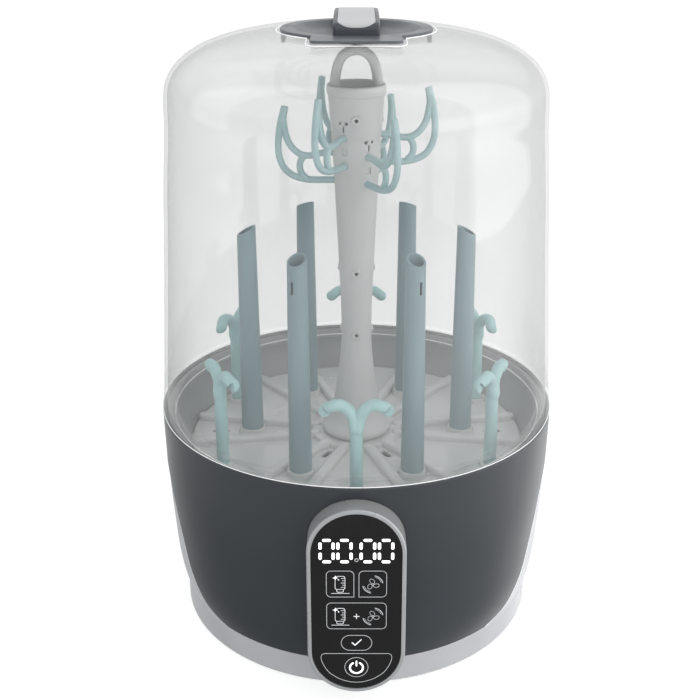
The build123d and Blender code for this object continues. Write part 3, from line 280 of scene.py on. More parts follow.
# ---------------------------------------------------------------------------
# materials
# ---------------------------------------------------------------------------
MATERIALS = {
    # cover and main casings
    "clear_cover": clear_plastic("clear_copolyester"),
    "charcoal": plastic("charcoal_satin", srgb=(48, 52, 56), rough=0.32, rough_var=0.02,
                        tone=0.02, grain=1800.0, bump=0.05, ior=1.5, coat=0.12, coat_rough=0.2,
                        bevel=0.0006, spec=0.42),
    "silver": plastic("silver_paint", srgb=(182, 183, 186), rough=0.36, tone=0.02, grain=2600.0,
                      bump=0.06, metallic=0.35, flake=0.25, bevel=0.0005),
    "bezel_silver": plastic("bezel_silver", srgb=(158, 160, 161), rough=0.33, tone=0.02,
                            grain=2600.0, bump=0.05, metallic=0.35, flake=0.25),
    # grip
    "grip_bar": plastic("grip_bar_charcoal", srgb=(60, 64, 69), rough=0.34, bump=0.06,
                        bevel=0.0005),
    "grip_grey": plastic("grip_charcoal", srgb=(84, 88, 93), rough=0.34, bump=0.06,
                         bevel=0.0005),
    "grip_inlay": plastic("grip_inlay_grey", srgb=(176, 178, 178), rough=0.42, grain=1200.0,
                          bump=0.10, bevel=0.0004),
    "clip_grey": plastic("clip_grey", srgb=(150, 152, 154)),
    # rack
    "tower_grey": plastic("tower_light_grey", srgb=(200, 201, 200), rough=0.42, grain=1400.0,
                          bump=0.08, bevel=0.0005, subsurface=0.1),
    "tray_grey": plastic("tray_light_grey", srgb=(204, 205, 204), rough=0.22, grain=1400.0,
                         bump=0.05, bevel=0.0006),
    "hook_teal": plastic("hook_teal", srgb=(170, 196, 197), rough=0.36, grain=1400.0, bump=0.06,
                         subsurface=0.15),
    "peg_teal": plastic("peg_teal", srgb=(168, 203, 203), rough=0.36, grain=1400.0, bump=0.06,
                        bevel=0.0005, subsurface=0.15),
    "post_teal": plastic("post_teal", srgb=(132, 154, 159), grain=1400.0, bump=0.06,
                         bevel=0.0005),
    # base
    "tub_grey": plastic("tub_grey", srgb=(158, 159, 160), rough=0.34, bump=0.06, bevel=0.0006,
                        tone=0.02),
    "base_dark": plastic("base_dark", srgb=(58, 60, 63), rough=0.55, grain=900.0, bump=0.2,
                         bevel=0.0005),
    "panel_black": plastic("panel_black", srgb=(22, 22, 23), rough=0.10, rough_var=0.03,
                           tone=0.02, grain=3000.0, bump=0.01, ior=1.5, bevel=0.0003),
    "rubber": plastic("foot_rubber", srgb=(46, 46, 48), rough=0.8, grain=700.0, bump=0.35),
    "silicone": plastic("seal_silicone", srgb=(205, 205, 200), rough=0.6, subsurface=0.2),
    # pale edges: partly rubbed wear, partly painted edge highlight
    "filter_frame": plastic("filter_cover_silver", srgb=(172, 173, 176), rough=0.38,
                            grain=2600.0, bump=0.08, metallic=0.3, flake=0.3, bevel=0.0005,
                            edge_wear_and_sheen=0.2),
    "filter_paper": plastic("filter_paper", srgb=(232, 230, 222), rough=0.9, grain=500.0,
                            bump=0.5, speck=0.2),
    # inner works
    "heater_ceramic": plastic("heater_ceramic", srgb=(205, 196, 180), rough=0.7, grain=600.0,
                              bump=0.3),
    "impeller_white": plastic("impeller_white", srgb=(220, 220, 214), rough=0.5),
    "circuit_board": plastic("circuit_board", srgb=(34, 92, 62), rough=0.45, tone=0.1,
                             grain=700.0, bump=0.15, speck=0.4),
    "display_body": plastic("display_body", srgb=(38, 38, 40), rough=0.5),
    "component_black": plastic("component_black", srgb=(30, 30, 32), rough=0.5, grain=900.0,
                               bump=0.2),
    "fuse_body": plastic("fuse_body", srgb=(190, 178, 150)),
    "wire": plastic("wire_sleeve", srgb=(60, 62, 70), rough=0.5),
    # metals
    "steel": metal("screw_steel", srgb=(172, 172, 174)),
    "stainless": metal("stainless_brushed", srgb=(196, 196, 197), rough=0.28,
                       brush=(60.0, 2.0, 1.0), bump=0.06),
    "cast_alu": metal("cast_aluminium", srgb=(160, 161, 164), rough=0.5, grain=500.0, bump=0.4),
    "zinc_steel": metal("zinc_steel", srgb=(180, 182, 188), rough=0.38, grain=300.0),
    "spring_metal": metal("spring_steel", srgb=(176, 172, 160), rough=0.28),
    "pin_brass": metal("pin_brass", srgb=(196, 170, 110), rough=0.26),
    "seam_bright": metal("seam_bright", srgb=(226, 228, 230), rough=0.22, bump=0.04),
    # painted highlights on edges, and lit marks
    "painted_highlight": ink("painted_edge_highlight", srgb=(240, 241, 241), glow=0.30, tone=0.02),
    "lit_white": ink("lit_white", srgb=(250, 251, 252), glow=0.95),
    "print_grey": ink("print_grey", srgb=(150, 151, 153), glow=0.75),
    "print_pale": ink("print_pale", srgb=(196, 197, 199), glow=0.75),
}

# CAD node: finish
FINISH = {
    "clear_dome": "clear_cover", "handle_dish": "grip_grey", "handle_bridge": "grip_bar",
    "handle_inlay": "grip_inlay", "handle_screws": "steel", "handle_clips": "clip_grey",
    "rack_tray": "tray_grey", "drying_tower": "tower_grey",
    "front_shell": "charcoal", "rear_shell": "silver", "plinth_ring": "silver",
    "panel_bezel": "bezel_silver", "panel_lens": "panel_black", "well_tub": "tub_grey",
    "air_grille": "tub_grey", "bottom_plate": "base_dark", "foot_ring": "rubber",
    "plate_seal": "silicone", "heating_plate": "stainless", "heating_element": "cast_alu",
    "plate_bracket": "zinc_steel", "thermostat": "zinc_steel", "thermal_fuse": "fuse_body",
    "casing_screws": "steel", "inner_screws": "steel", "panel_screws": "steel",
    "power_board": "circuit_board", "touch_board": "circuit_board",
    "board_parts": "component_black", "display_module": "display_body",
    "touch_pads": "spring_metal", "fan_housing": "base_dark", "fan_impeller": "impeller_white",
    "fan_motor": "zinc_steel", "motor_shaft": "steel", "air_heater": "heater_ceramic",
    "air_duct": "base_dark", "filter_cover": "filter_frame", "hepa_filter": "filter_paper",
    "power_inlet": "component_black", "inlet_pins": "pin_brass", "wiring_loom": "wire",
}
for number in range(1, 7):
    for part in ("hook", "peg", "post"):
        FINISH[f"{part}_{number}"] = f"{part}_teal"


def smooth_shade(mesh):
    mesh.polygons.foreach_set("use_smooth", [True] * len(mesh.polygons))


for name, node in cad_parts.items():
    mesh = node.data
    mesh.materials.clear()
    mesh.materials.append(MATERIALS[FINISH.get(name, "base_dark")])
    smooth_shade(mesh)
    if not mesh.has_custom_normals:
        mesh.set_sharp_from_angle(angle=math.radians(32))

# ---------------------------------------------------------------------------
# mesh builders: shapes are (vertices, faces) in millimetres
# ---------------------------------------------------------------------------


def piece(name, shape, material, body, smooth=True, sharp=35.0):
    """Object from a shape, riding on a body; edges over sharp degrees stay crisp."""
    verts, faces = shape
    mesh = bpy.data.meshes.new(name)
    mesh.from_pydata([(x * MM, y * MM, z * MM) for x, y, z in verts], [], faces)
    mesh.validate()
    bm = bmesh.new()
    bm.from_mesh(mesh)
    bmesh.ops.remove_doubles(bm, verts=bm.verts, dist=1e-7)
    bmesh.ops.recalc_face_normals(bm, faces=bm.faces)
    bm.to_mesh(mesh)
    bm.free()
    if smooth:
        smooth_shade(mesh)
        mesh.set_sharp_from_angle(angle=math.radians(sharp))
    mesh.materials.append(MATERIALS[material])
    obj = bpy.data.objects.new(name, mesh)
    collection.objects.link(obj)
    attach(obj, body)
    return obj


def revolve(profile, steps):
    """Closed (r, z) profile turned round Z."""
    verts, faces = [], []
    count = len(profile)
    for k in range(steps):
        angle = 2 * math.pi * k / steps
        verts += [(r * math.cos(angle), r * math.sin(angle), z) for r, z in profile]
    for k in range(steps):
        here, there = k * count, (k + 1) % steps * count
        for i in range(count):
            j = (i + 1) % count
            faces.append((here + i, here + j, there + j, there + i))
    return verts, faces


def curve_through(points, per):
    """Natural cubic spline over chord length, with per steps between stations."""
    p = np.array(points, float)
    gaps = np.linalg.norm(np.diff(p, axis=0), axis=1)
    chord = np.concatenate([[0], np.cumsum(gaps)])
    count = len(p)
    h = np.diff(chord)
    system = np.zeros((count, count))
    target = np.zeros((count, p.shape[1]))
    system[0, 0] = system[-1, -1] = 1
    for i in range(1, count - 1):
        system[i, i - 1:i + 2] = h[i - 1], 2 * (h[i - 1] + h[i]), h[i]
        target[i] = 6 * ((p[i + 1] - p[i]) / h[i] - (p[i] - p[i - 1]) / h[i - 1])
    bend = np.linalg.solve(system, target)
    line = []
    for i in range(count - 1):
        for k in range(per):
            t = chord[i] + h[i] * k / per
            u, v = chord[i + 1] - t, t - chord[i]
            point = (bend[i] * u ** 3 + bend[i + 1] * v ** 3) / (6 * h[i])
            point = point + (p[i] / h[i] - bend[i] * h[i] / 6) * u
            point = point + (p[i + 1] / h[i] - bend[i + 1] * h[i] / 6) * v
            line.append(tuple(point))
    line.append(tuple(p[-1]))
    return line


def tube(path, radius, sides, closed=False):
    """Round tube along a 3-D path; an open one has capped ends."""
    points = [Vector(point) for point in path]
    verts, faces = [], []
    up = None
    count = len(points)
    for i, point in enumerate(points):
        if closed:
            along = (points[(i + 1) % count] - points[i - 1]).normalized()
        else:
            along = (points[min(i + 1, count - 1)] - points[max(i - 1, 0)]).normalized()
        if up is None:
            up = along.orthogonal().normalized()
        up = (up - along * up.dot(along)).normalized()
        side = along.cross(up)
        for k in range(sides):
            a = 2 * math.pi * k / sides
            offset = up * (math.cos(a) * radius) + side * (math.sin(a) * radius)
            verts.append(tuple(point + offset))
    for i in range(count if closed else count - 1):
        here, there = i * sides, (i + 1) % count * sides
        for k in range(sides):
            j = (k + 1) % sides
            faces.append((here + k, here + j, there + j, there + k))
    if not closed:
        faces.append(tuple(range(sides))[::-1])
        faces.append(tuple(range((count - 1) * sides, count * sides)))
    return verts, faces


def merge(shapes):
    verts, faces = [], []
    for shape_verts, shape_faces in shapes:
        offset = len(verts)
        verts += list(shape_verts)
        faces += [tuple(i + offset for i in face) for face in shape_faces]
    return verts, faces


# ---------------------------------------------------------------------------
# clear cover, turned finely so that its reflections run smooth
# ---------------------------------------------------------------------------
COVER_STEPS = 256
COVER_WALL = 2.6
SEAT_Z, SEAT_R = 418.6, 62.5        # flat seat of the grip on the crown
HOLE_R = 42.0                       # opening in the middle of the seat
# shoulder: a superellipse quadrant standing on SHOULDER_Z
SHOULDER_Z, SHOULDER_TOP_Z, SHOULDER_R = 377.0, 420.45, 127.05
SHOULDER_R_POWER, SHOULDER_Z_POWER = 3.28, 2.21
# outside of the wall from the foot up (r, z)
WALL_RZ = [(140.0, 157.2), (139.0, 164.5), (138.1, 174.0), (137.0, 192.0), (134.6, 235.0),
           (132.2, 280.0), (129.6, 330.0), (127.6, 362.0)]
# inner lip and foot, from the inside of the wall round to the outside (r, z)
LIP_RZ = [(136.4, 160.2), (135.6, 159.6), (129.7, 159.6), (129.4, 159.3), (129.4, 152.0),
          (129.8, 151.6), (131.0, 151.6), (131.4, 152.0), (131.4, 157.2), (139.6, 157.2)]
FOOT_RZ = (139.95, 157.5)
INNER_START_Z = 160.5               # the inside of the wall begins above the lip


def cover_outside():
    line = list(WALL_RZ)
    for k in range(3, 60, 3):
        angle = math.radians(1.5 * k)
        r = SHOULDER_R * math.cos(angle) ** (2 / SHOULDER_R_POWER)
        rise = math.sin(angle) ** (2 / SHOULDER_Z_POWER)
        z = SHOULDER_Z + (SHOULDER_TOP_Z - SHOULDER_Z) * rise
        # stop short of the seat
        if z < SEAT_Z - 0.3 and r > SEAT_R + 1.0:
            line.append((r, z))
    return line + [(SEAT_R, SEAT_Z)]


def cover_inside(outside):
    """The outside line moved in by the wall thickness."""
    line = []
    for i, (r, z) in enumerate(outside):
        r0, z0 = outside[max(i - 1, 0)]
        r1, z1 = outside[min(i + 1, len(outside) - 1)]
        length = math.hypot(r1 - r0, z1 - z0)
        line.append((r - COVER_WALL * (z1 - z0) / length, z + COVER_WALL * (r1 - r0) / length))
    line = [point for point in line if point[1] > INNER_START_Z]
    line[-1] = (line[-1][0], SEAT_Z - COVER_WALL)
    return line


def cover_profile():
    outside = cover_outside()
    hole = [(HOLE_R + 0.5, SEAT_Z), (HOLE_R, SEAT_Z - 0.5),
            (HOLE_R, SEAT_Z - COVER_WALL + 0.4), (HOLE_R + 0.4, SEAT_Z - COVER_WALL)]
    inside = curve_through(cover_inside(outside), per=7)[::-1]
    return curve_through(outside, per=7)[1:] + hole + inside + LIP_RZ + [FOOT_RZ]


dome = piece("clear_dome_fine", revolve(cover_profile(), COVER_STEPS), "clear_cover", "cover",
             sharp=40)
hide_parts("clear_dome")


def ring(r, z, thickness):
    angles = [2 * math.pi * k / COVER_STEPS for k in range(COVER_STEPS)]
    circle = [(r * math.cos(a), r * math.sin(a), z) for a in angles]
    return tube(circle, thickness, sides=8, closed=True)


# painted highlights on the cover's foot and inner lip: thin white rings that glow
edges = [ring(r=139.5, z=157.7, thickness=0.26), ring(r=131.1, z=152.05, thickness=0.30)]
piece("cover_painted_highlight", merge(edges), "painted_highlight", "cover")

# ---------------------------------------------------------------------------
# painted highlight along the moulded step of the crown round the grip: a circle with a square
# tongue to the front
# ---------------------------------------------------------------------------
DISH_R = 50.0
TONGUE_W, TONGUE_REACH, TONGUE_CORNER = 57.0, 65.5, 5.0
STEP_GAP = 2.4                      # from the dish out to the step
STEP_Z = 418.75
STEP_FALL_R, STEP_FALL = 62.0, 0.12     # beyond this radius it falls by this slope


def step_outline():
    half, radius = TONGUE_W / 2 + STEP_GAP, DISH_R + STEP_GAP
    corner, front = TONGUE_CORNER + STEP_GAP, -(TONGUE_REACH + STEP_GAP)
    start = math.atan2(-math.sqrt(radius * radius - half * half), half)
    points = []
    for k in range(97):
        angle = start + (math.pi - 2 * start) * k / 96
        points.append((radius * math.cos(angle), radius * math.sin(angle)))
    for centre_x, first in ((-half + corner, math.pi), (half - corner, 1.5 * math.pi)):
        for k in range(9):
            angle = first + math.pi / 2 * k / 8
            points.append((centre_x + corner * math.cos(angle),
                           front + corner + corner * math.sin(angle)))
    return points


crown = [(x, y, STEP_Z - max(0.0, math.hypot(x, y) - STEP_FALL_R) * STEP_FALL)
         for x, y in step_outline()]
# a thin glowing tube along the step's edge: painted highlight
piece("crown_step_highlight", tube(crown, radius=0.3, sides=8, closed=True), "painted_highlight", "cover")

# ---------------------------------------------------------------------------
# inlay of the grip: a thin pad that wraps over both ends of the bridge, with rounded ends
# ---------------------------------------------------------------------------
# top line of the bridge, front to back (y, z)
GRIP_YZ = [(-41.4, 424.4), (-40.3, 426.6), (-37.0, 428.1), (-28.0, 429.2), (0, 430.2),
           (28.0, 429.2), (37.0, 428.1), (40.3, 426.6), (41.4, 424.4)]
PAD_HALF_W = 11.85
PAD_END, PAD_CURVE, PAD_POWER = 0.5, 6.6, 2.6   # end gap, depth and power of the end curve
PAD_TOP, PAD_BOTTOM = 0.32, -0.45               # lifts from the bridge's top line
PAD_EDGE_DROP = 0.22
PAD_HALF_STEPS, PAD_STEPS = 20, 120             # across half the width, and along

grip = np.array(curve_through(GRIP_YZ, per=14))
run = np.concatenate([[0], np.cumsum(np.linalg.norm(np.diff(grip, axis=0), axis=1))])


def grip_point(distance):
    return tuple(float(np.interp(distance, run, grip[:, axis])) for axis in (0, 1))


def on_grip(distance, lift):
    """Point on the bridge's top line, raised along the normal."""
    y, z = grip_point(distance)
    y0, z0 = grip_point(distance - 0.3)
    y1, z1 = grip_point(distance + 0.3)
    length = math.hypot(y1 - y0, z1 - z0)
    return y - lift * (z1 - z0) / length, z + lift * (y1 - y0) / length


def grip_pad():
    rows = []       # x, and where the row starts and ends along the bridge
    for i in range(-PAD_HALF_STEPS, PAD_HALF_STEPS + 1):
        x = PAD_HALF_W * math.sin(math.pi / 2 * i / PAD_HALF_STEPS)
        bow = math.sqrt(max(0.0, 1 - (abs(x) / PAD_HALF_W) ** PAD_POWER))
        start = PAD_END + PAD_CURVE * (1 - bow)
        rows.append((x, start, run[-1] - start))

    verts, faces = [], []
    for lift in (PAD_TOP, PAD_BOTTOM):
        for x, start, end in rows:
            for k in range(PAD_STEPS + 1):
                drop = PAD_EDGE_DROP if lift > 0 and k in (0, PAD_STEPS) else 0.0
                y, z = on_grip(start + (end - start) * k / PAD_STEPS, lift - drop)
                verts.append((x, y, z))

    stride = PAD_STEPS + 1
    under = len(rows) * stride      # from a top vertex to the one below it
    for i in range(len(rows) - 1):
        for k in range(PAD_STEPS):
            a, b = i * stride + k, (i + 1) * stride + k
            face = (a, b, b + 1, a + 1)
            faces.append(face)
            faces.append(tuple(j + under for j in face[::-1]))
    for i in range(len(rows) - 1):
        for k in (0, PAD_STEPS):
            a, b = i * stride + k, (i + 1) * stride + k
            faces.append((a, a + under, b + under, b))
    for k in range(PAD_STEPS):
        for i in (0, len(rows) - 1):
            a = i * stride + k
            faces.append((a, a + 1, a + 1 + under, a + under))
    return verts, faces


pad = piece("grip_pad", grip_pad(), "grip_inlay", "cover", sharp=50)
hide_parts("handle_inlay")

# ---------------------------------------------------------------------------
# bright bead that follows the joint of the two casings
# ---------------------------------------------------------------------------
# outside of the base from the bottom up (r, z)
BODY_RZ = [(128.6, 20.8), (132.6, 36.0), (136.0, 67.0), (138.1, 99.0), (139.4, 138.0),
           (140.0, 157.0)]
# joint seen from the side, from low at the front up to the back run (y, z)
SEAM_YZ = [(-96.0, 18.5), (-87.0, 23.8), (-81.0, 27.2), (-77.0, 30.6), (-73.3, 36.0),
           (-68.2, 45.5), (-64.0, 56.0), (-60.6, 67.5), (-56.3, 81.0), (-51.5, 93.5),
           (-46.0, 104.5), (-38.0, 113.2), (-27.0, 118.4), (-12.0, 120.5), (5.0, 121.0)]
SEAM_START_Z = 21.2
BEAD_R, BEAD_SINK = 0.45, 0.28
BEAD_SHIFT_Y, BEAD_SHIFT_Z = 0.2, -0.12     # from the joint to the bead
BACK_RADIUS_Z = 120.9                       # height at which the back run takes its radius
BACK_STEPS = 80

body_line = np.array(curve_through(BODY_RZ, per=12))


def bead_radius(z):
    return float(np.interp(z, body_line[:, 1], body_line[:, 0])) - BEAD_SINK


def bead_path():
    """Up the right side, round the back and down the left side."""
    line = [(y + BEAD_SHIFT_Y, z + BEAD_SHIFT_Z)
            for y, z in curve_through(SEAM_YZ, per=6) if z > SEAM_START_Z]
    right, left = ([(side * math.sqrt(bead_radius(z) ** 2 - y * y), y, z) for y, z in line]
                   for side in (1, -1))
    top_y, top_z = line[-1]
    r = bead_radius(BACK_RADIUS_Z)
    start = math.atan2(top_y, math.sqrt(r * r - top_y ** 2))
    back = []
    for k in range(1, BACK_STEPS):
        angle = start + (math.pi - 2 * start) * k / BACK_STEPS
        back.append((r * math.cos(angle), r * math.sin(angle), top_z))
    return right + back + left[::-1]


piece("seam_bead", tube(bead_path(), BEAD_R, sides=10), "seam_bright", "base")

# ---------------------------------------------------------------------------
# flat shapes for the control window, drawn in (x, z)
# ---------------------------------------------------------------------------
MARK_BACK_Y = -152.44               # just inside the window's face at -152.5
MARK_FRONT_Y = MARK_BACK_Y - 0.16


def prism(loop):
    """Flat outline given a small thickness."""
    count = len(loop)
    verts = [(x, y, z) for y in (MARK_BACK_Y, MARK_FRONT_Y) for x, z in loop]
    faces = [tuple(range(count)), tuple(range(2 * count - 1, count - 1, -1))]
    for i in range(count):
        j = (i + 1) % count
        faces.append((i, j, j + count, i + count))
    return verts, faces


def band(left, right):
    """Closed band between two loops of equal count, given a small thickness."""
    m = len(left)
    verts = [(point.x, y, point.y) for y in (MARK_BACK_Y, MARK_FRONT_Y)
             for side in (left, right) for point in side]
    faces = []
    for i in range(m):
        j = (i + 1) % m
        faces.append((i, j, m + j, m + i))
        faces.append((2 * m + i, 3 * m + i, 3 * m + j, 2 * m + j))
        faces.append((i, 2 * m + i, 2 * m + j, j))
        faces.append((m + i, m + j, 3 * m + j, 3 * m + i))
    return verts, faces


def end_cap(edge, centre, radius):
    """Half circle round the centre, starting after the edge point."""
    base = math.atan2(edge.y - centre.y, edge.x - centre.x)
    angles = [base - math.pi * k / 6 for k in range(1, 6)]
    return [(centre.x + math.cos(a) * radius, centre.y + math.sin(a) * radius) for a in angles]


def ribbon(path, width, closed=False, round_ends=True):
    """Line of even width along a path."""
    points = [Vector(point) for point in path]
    count = len(points)
    left, right = [], []
    for i, point in enumerate(points):
        before = point - points[i - 1] if closed or i else points[1] - points[0]
        after = points[(i + 1) % count] - point if closed or i < count - 1 else before
        normal = Vector((-before.y, before.x)).normalized()
        mitre = (normal + Vector((-after.y, after.x)).normalized()).normalized()
        reach = width / 2 / max(mitre.dot(normal), 0.5)
        left.append(point + mitre * reach)
        right.append(point - mitre * reach)
    if closed:
        return band(left, right)
    loop = [(point.x, point.y) for point in left]
    if round_ends:
        loop += end_cap(left[-1], points[-1], width / 2)
    loop += [(point.x, point.y) for point in right[::-1]]
    if round_ends:
        loop += end_cap(right[0], points[0], width / 2)
    return prism(loop)


def arc(centre_x, centre_z, radius, start, end, steps):
    """Points of an arc between two angles in degrees."""
    angles = [math.radians(start + (end - start) * k / steps) for k in range(steps + 1)]
    return [(centre_x + radius * math.cos(a), centre_z + radius * math.sin(a)) for a in angles]


def round_box(x0, z0, x1, z1, radii):
    """Corner radii in the order lower left, lower right, upper right, upper left."""
    ll, lr, ur, ul = radii
    loop = []
    for x, z, radius, start in ((x0 + ll, z0 + ll, ll, 180), (x1 - lr, z0 + lr, lr, 270),
                                (x1 - ur, z1 - ur, ur, 0), (x0 + ul, z1 - ul, ul, 90)):
        loop += arc(x, z, radius, start, start + 90, steps=8) if radius else [(x, z)]
    return loop


def star(centre_x, centre_z, radius):
    """Four-pointed star."""
    loop = []
    for i in range(8):
        angle = math.radians(90 + 45 * i)
        reach = radius if i % 2 == 0 else radius * 0.26
        loop.append((centre_x + reach * math.cos(angle), centre_z + reach * math.sin(angle)))
    return prism(loop)


def marks(name, shapes, material):
    piece(name, merge(shapes), material, "base", smooth=False)


# ---------------------------------------------------------------------------
# clock digits: seven-segment zeros made of bars with round ends
# ---------------------------------------------------------------------------
DIGIT_X = [(-23.55, -13.5), (-12.5, -2.35), (1.95, 12.3), (13.35, 23.55)]   # left, right edge
DIGIT_TOP, DIGIT_BOTTOM = 129.1, 111.7
BAR_W = 1.95
FLAT_BAR_HALF = 1.75
UPPER_BAR_Z, LOWER_BAR_Z = (122.5, 125.6), (115.2, 118.3)


def digit(x0, x1):
    middle = (x0 + x1) / 2
    bars = [[(middle - FLAT_BAR_HALF, z), (middle + FLAT_BAR_HALF, z)]
            for z in (DIGIT_TOP - BAR_W / 2, DIGIT_BOTTOM + BAR_W / 2)]
    bars += [[(x, low), (x, high)] for x in (x0 + BAR_W / 2, x1 - BAR_W / 2)
             for low, high in (UPPER_BAR_Z, LOWER_BAR_Z)]
    return [ribbon(bar, BAR_W) for bar in bars]


marks("clock_digits", [bar for x0, x1 in DIGIT_X for bar in digit(x0, x1)], "lit_white")

# ---------------------------------------------------------------------------
# key outlines
# ---------------------------------------------------------------------------
KEY_LINE_W = 0.34
# x0, z0, x1, z1, corner radii
KEY_BOXES = [(-18.95, 86.8, -1.6, 105.95, (3.0, 0.0, 3.0, 3.0)),
             (1.6, 86.8, 19.0, 105.95, (0.0, 3.0, 3.0, 3.0)),
             (-18.9, 62.9, 19.0, 82.4, (3.0, 3.0, 3.0, 3.0)),
             (-9.75, 46.4, 9.9, 57.9, (5.7, 5.7, 5.7, 5.7))]
# right half of the lower key: rounded shoulder tapering into a wide bowl (x, z)
BOWL_XZ = [(20.6, 43.9), (21.9, 43.3), (22.7, 41.9), (22.75, 39.8), (22.0, 37.0), (19.8, 32.3),
           (17.4, 29.0), (14.3, 26.4), (10.8, 24.2), (7.1, 22.7), (3.6, 21.8), (0.0, 21.5)]

bowl = curve_through(BOWL_XZ, per=4)
bowl += [(-x, z) for x, z in bowl[-2::-1]]
small_ring = arc(0.05, 113.9, radius=1.05, start=0, end=345, steps=23)
power_ring = arc(0.0, 33.3, radius=7.5, start=0, end=354, steps=59)
keys = [ribbon(round_box(*box), KEY_LINE_W, closed=True) for box in KEY_BOXES]
keys += [ribbon(small_ring, 0.42, closed=True),
         ribbon(bowl, KEY_LINE_W, closed=True),
         ribbon(power_ring, KEY_LINE_W, closed=True)]
marks("key_outlines", keys, "print_grey")

# ---------------------------------------------------------------------------
# icons on the keys
# ---------------------------------------------------------------------------


def bottle_icon(centre_x, ground_z):
    """Feeding bottle upside down on a rack line, with graduation ticks."""
    line_w, thin_w = 0.3, 0.3 * 0.8
    body = round_box(-3.3, 2.9, 2.9, 12.6, radii=(1.3, 1.3, 1.4, 1.4))
    neck = round_box(-2.3, 0.9, 1.9, 2.9, radii=(0.8, 0.8, 0.1, 0.1))
    rack = [(-5.6, 0), (5.6, 0)]
    ticks = [[(1.2 if i % 2 else 0.4, 4.4 + 1.65 * i), (2.9, 4.4 + 1.65 * i)] for i in range(5)]

    def placed(path):
        return [(centre_x + x, ground_z + z) for x, z in path]

    outlines = [ribbon(placed(path), line_w, closed=True) for path in (body, neck)]
    return outlines + [ribbon(placed(path), thin_w) for path in [rack] + ticks]


def fan_icon(centre_x, centre_z):
    """Three blades round a hub, between two pairs of arcs."""
    line_w, bold_w, thin_w = 0.26, 0.26 * 1.9, 0.26 * 0.9
    shapes = []
    # start and end angle, radius, width
    for start, end, radius, width in ((12, 78, 6.4, bold_w), (16, 74, 5.5, thin_w),
                                      (192, 258, 6.4, bold_w), (196, 254, 5.5, thin_w)):
        shapes.append(ribbon(arc(centre_x, centre_z, radius, start, end, steps=16), width))
    blade_orbit, blade_long, blade_short, blade_twist = 2.35, 1.9, 1.35, 0.5
    for k in range(3):
        angle = math.radians(100 + 120 * k)
        x = centre_x + blade_orbit * math.cos(angle)
        z = centre_z + blade_orbit * math.sin(angle)
        cos, sin = math.cos(angle + blade_twist), math.sin(angle + blade_twist)
        loop = []
        for i in range(20):
            t = 2 * math.pi * i / 20
            u, v = blade_long * math.cos(t), blade_short * math.sin(t)
            loop.append((x + u * cos - v * sin, z + u * sin + v * cos))
        shapes.append(ribbon(loop, line_w, closed=True))
    hub = arc(centre_x, centre_z, radius=0.55, start=0, end=330, steps=11)
    return shapes + [ribbon(hub, 0.35, closed=True)]


marks("fan_marks", fan_icon(10.3, 96.1) + fan_icon(10.5, 72.2), "print_grey")

# bottles, plus sign between bottle and fan, tick
PLUS_X, PLUS_Z, PLUS_ARM, PLUS_W = 0.05, 72.3, 1.9, 0.5
TICK_XZ, TICK_W = [(-2.7, 52.2), (-0.9, 50.4), (3.0, 54.5)], 0.75
icons = bottle_icon(-10.1, 89.5) + bottle_icon(-10.2, 65.7)
for dx, dz in ((PLUS_ARM, 0.0), (0.0, PLUS_ARM)):
    stroke = [(PLUS_X - dx, PLUS_Z - dz), (PLUS_X + dx, PLUS_Z + dz)]
    icons.append(ribbon(stroke, PLUS_W, round_ends=False))
icons.append(ribbon(TICK_XZ, TICK_W))
marks("key_icons", icons, "print_pale")

# a large and a small star by each bottle, and the power sign
shine = []
for x, z in ((-13.3, 100.9), (-13.4, 77.1)):
    shine += [star(x, z, radius=1.8), star(x + 2.0, z - 1.4, radius=0.7)]
shine.append(ribbon(arc(0.0, 32.9, radius=4.2, start=122, end=418, steps=40), width=1.15))
shine.append(ribbon([(0.0, 34.4), (0.0, 37.9)], width=0.9))
marks("power_mark", shine, "lit_white")

# ---------------------------------------------------------------------------
# pale floor, partly self-lit
# ---------------------------------------------------------------------------


def build_floor():
    bm = bmesh.new()
    bmesh.ops.create_grid(bm, x_segments=1, y_segments=1, size=12.0)
    mesh = bpy.data.meshes.new("studio_floor")
    bm.to_mesh(mesh)
    bm.free()
    floor = bpy.data.objects.new("studio_floor", mesh)
    collection.objects.link(floor)
    graph = ShaderGraph(bpy.data.materials.new("studio_floor_white"))
    glow = graph.add("ShaderNodeEmission", {"Color": WHITE, "Strength": 0.70})
    matt = graph.add("ShaderNodeBsdfDiffuse", {"Color": (0.42, 0.42, 0.42, 1)})
    both = graph.add("ShaderNodeAddShader", {0: glow.outputs[0], 1: matt.outputs[0]})
    mesh.materials.append(graph.finish(both.outputs[0]))
    floor.visible_glossy = False


build_floor()

# ---------------------------------------------------------------------------
# world: white to the camera, even light on surfaces, a drawn studio in reflections
# ---------------------------------------------------------------------------
# brightness by bearing (bearing, value): 0 is the front (-Y), 0.25 the right (+X),
# 0.5 the back, 0.75 the left
LEVEL = [(0.0, 0.30), (0.08, 0.42), (0.125, 0.7), (0.165, 0.9), (0.225, 1.1), (0.275, 1.1),
         (0.315, 0.95), (0.42, 1.15), (0.5, 0.85), (0.58, 0.72), (0.64, 0.60), (0.70, 0.48),
         (0.78, 0.20), (0.88, 0.16), (1.0, 0.30)]
UPPER = [(0.0, 0.75), (0.08, 1.1), (0.13, 2.1), (0.165, 2.2), (0.225, 1.9), (0.275, 1.7),
         (0.315, 1.3), (0.42, 1.15), (0.5, 0.85), (0.58, 0.72), (0.66, 0.50), (0.75, 0.28),
         (0.88, 0.35), (1.0, 0.75)]
GROUND = [(0.0, 0.25), (0.10, 0.25), (0.20, 0.36), (0.27, 0.50), (0.33, 1.0), (0.42, 1.6),
          (0.5, 0.9), (0.58, 0.65), (0.68, 0.25), (0.75, 0.12), (0.88, 0.14), (1.0, 0.25)]
TABLE = [(0.0, 1.0), (0.24, 1.0), (0.34, 0.0), (0.66, 0.0), (0.78, 1.0), (1.0, 1.0)]
CEILING_VALUE, CEILING_SHARE = 0.92, 0.6

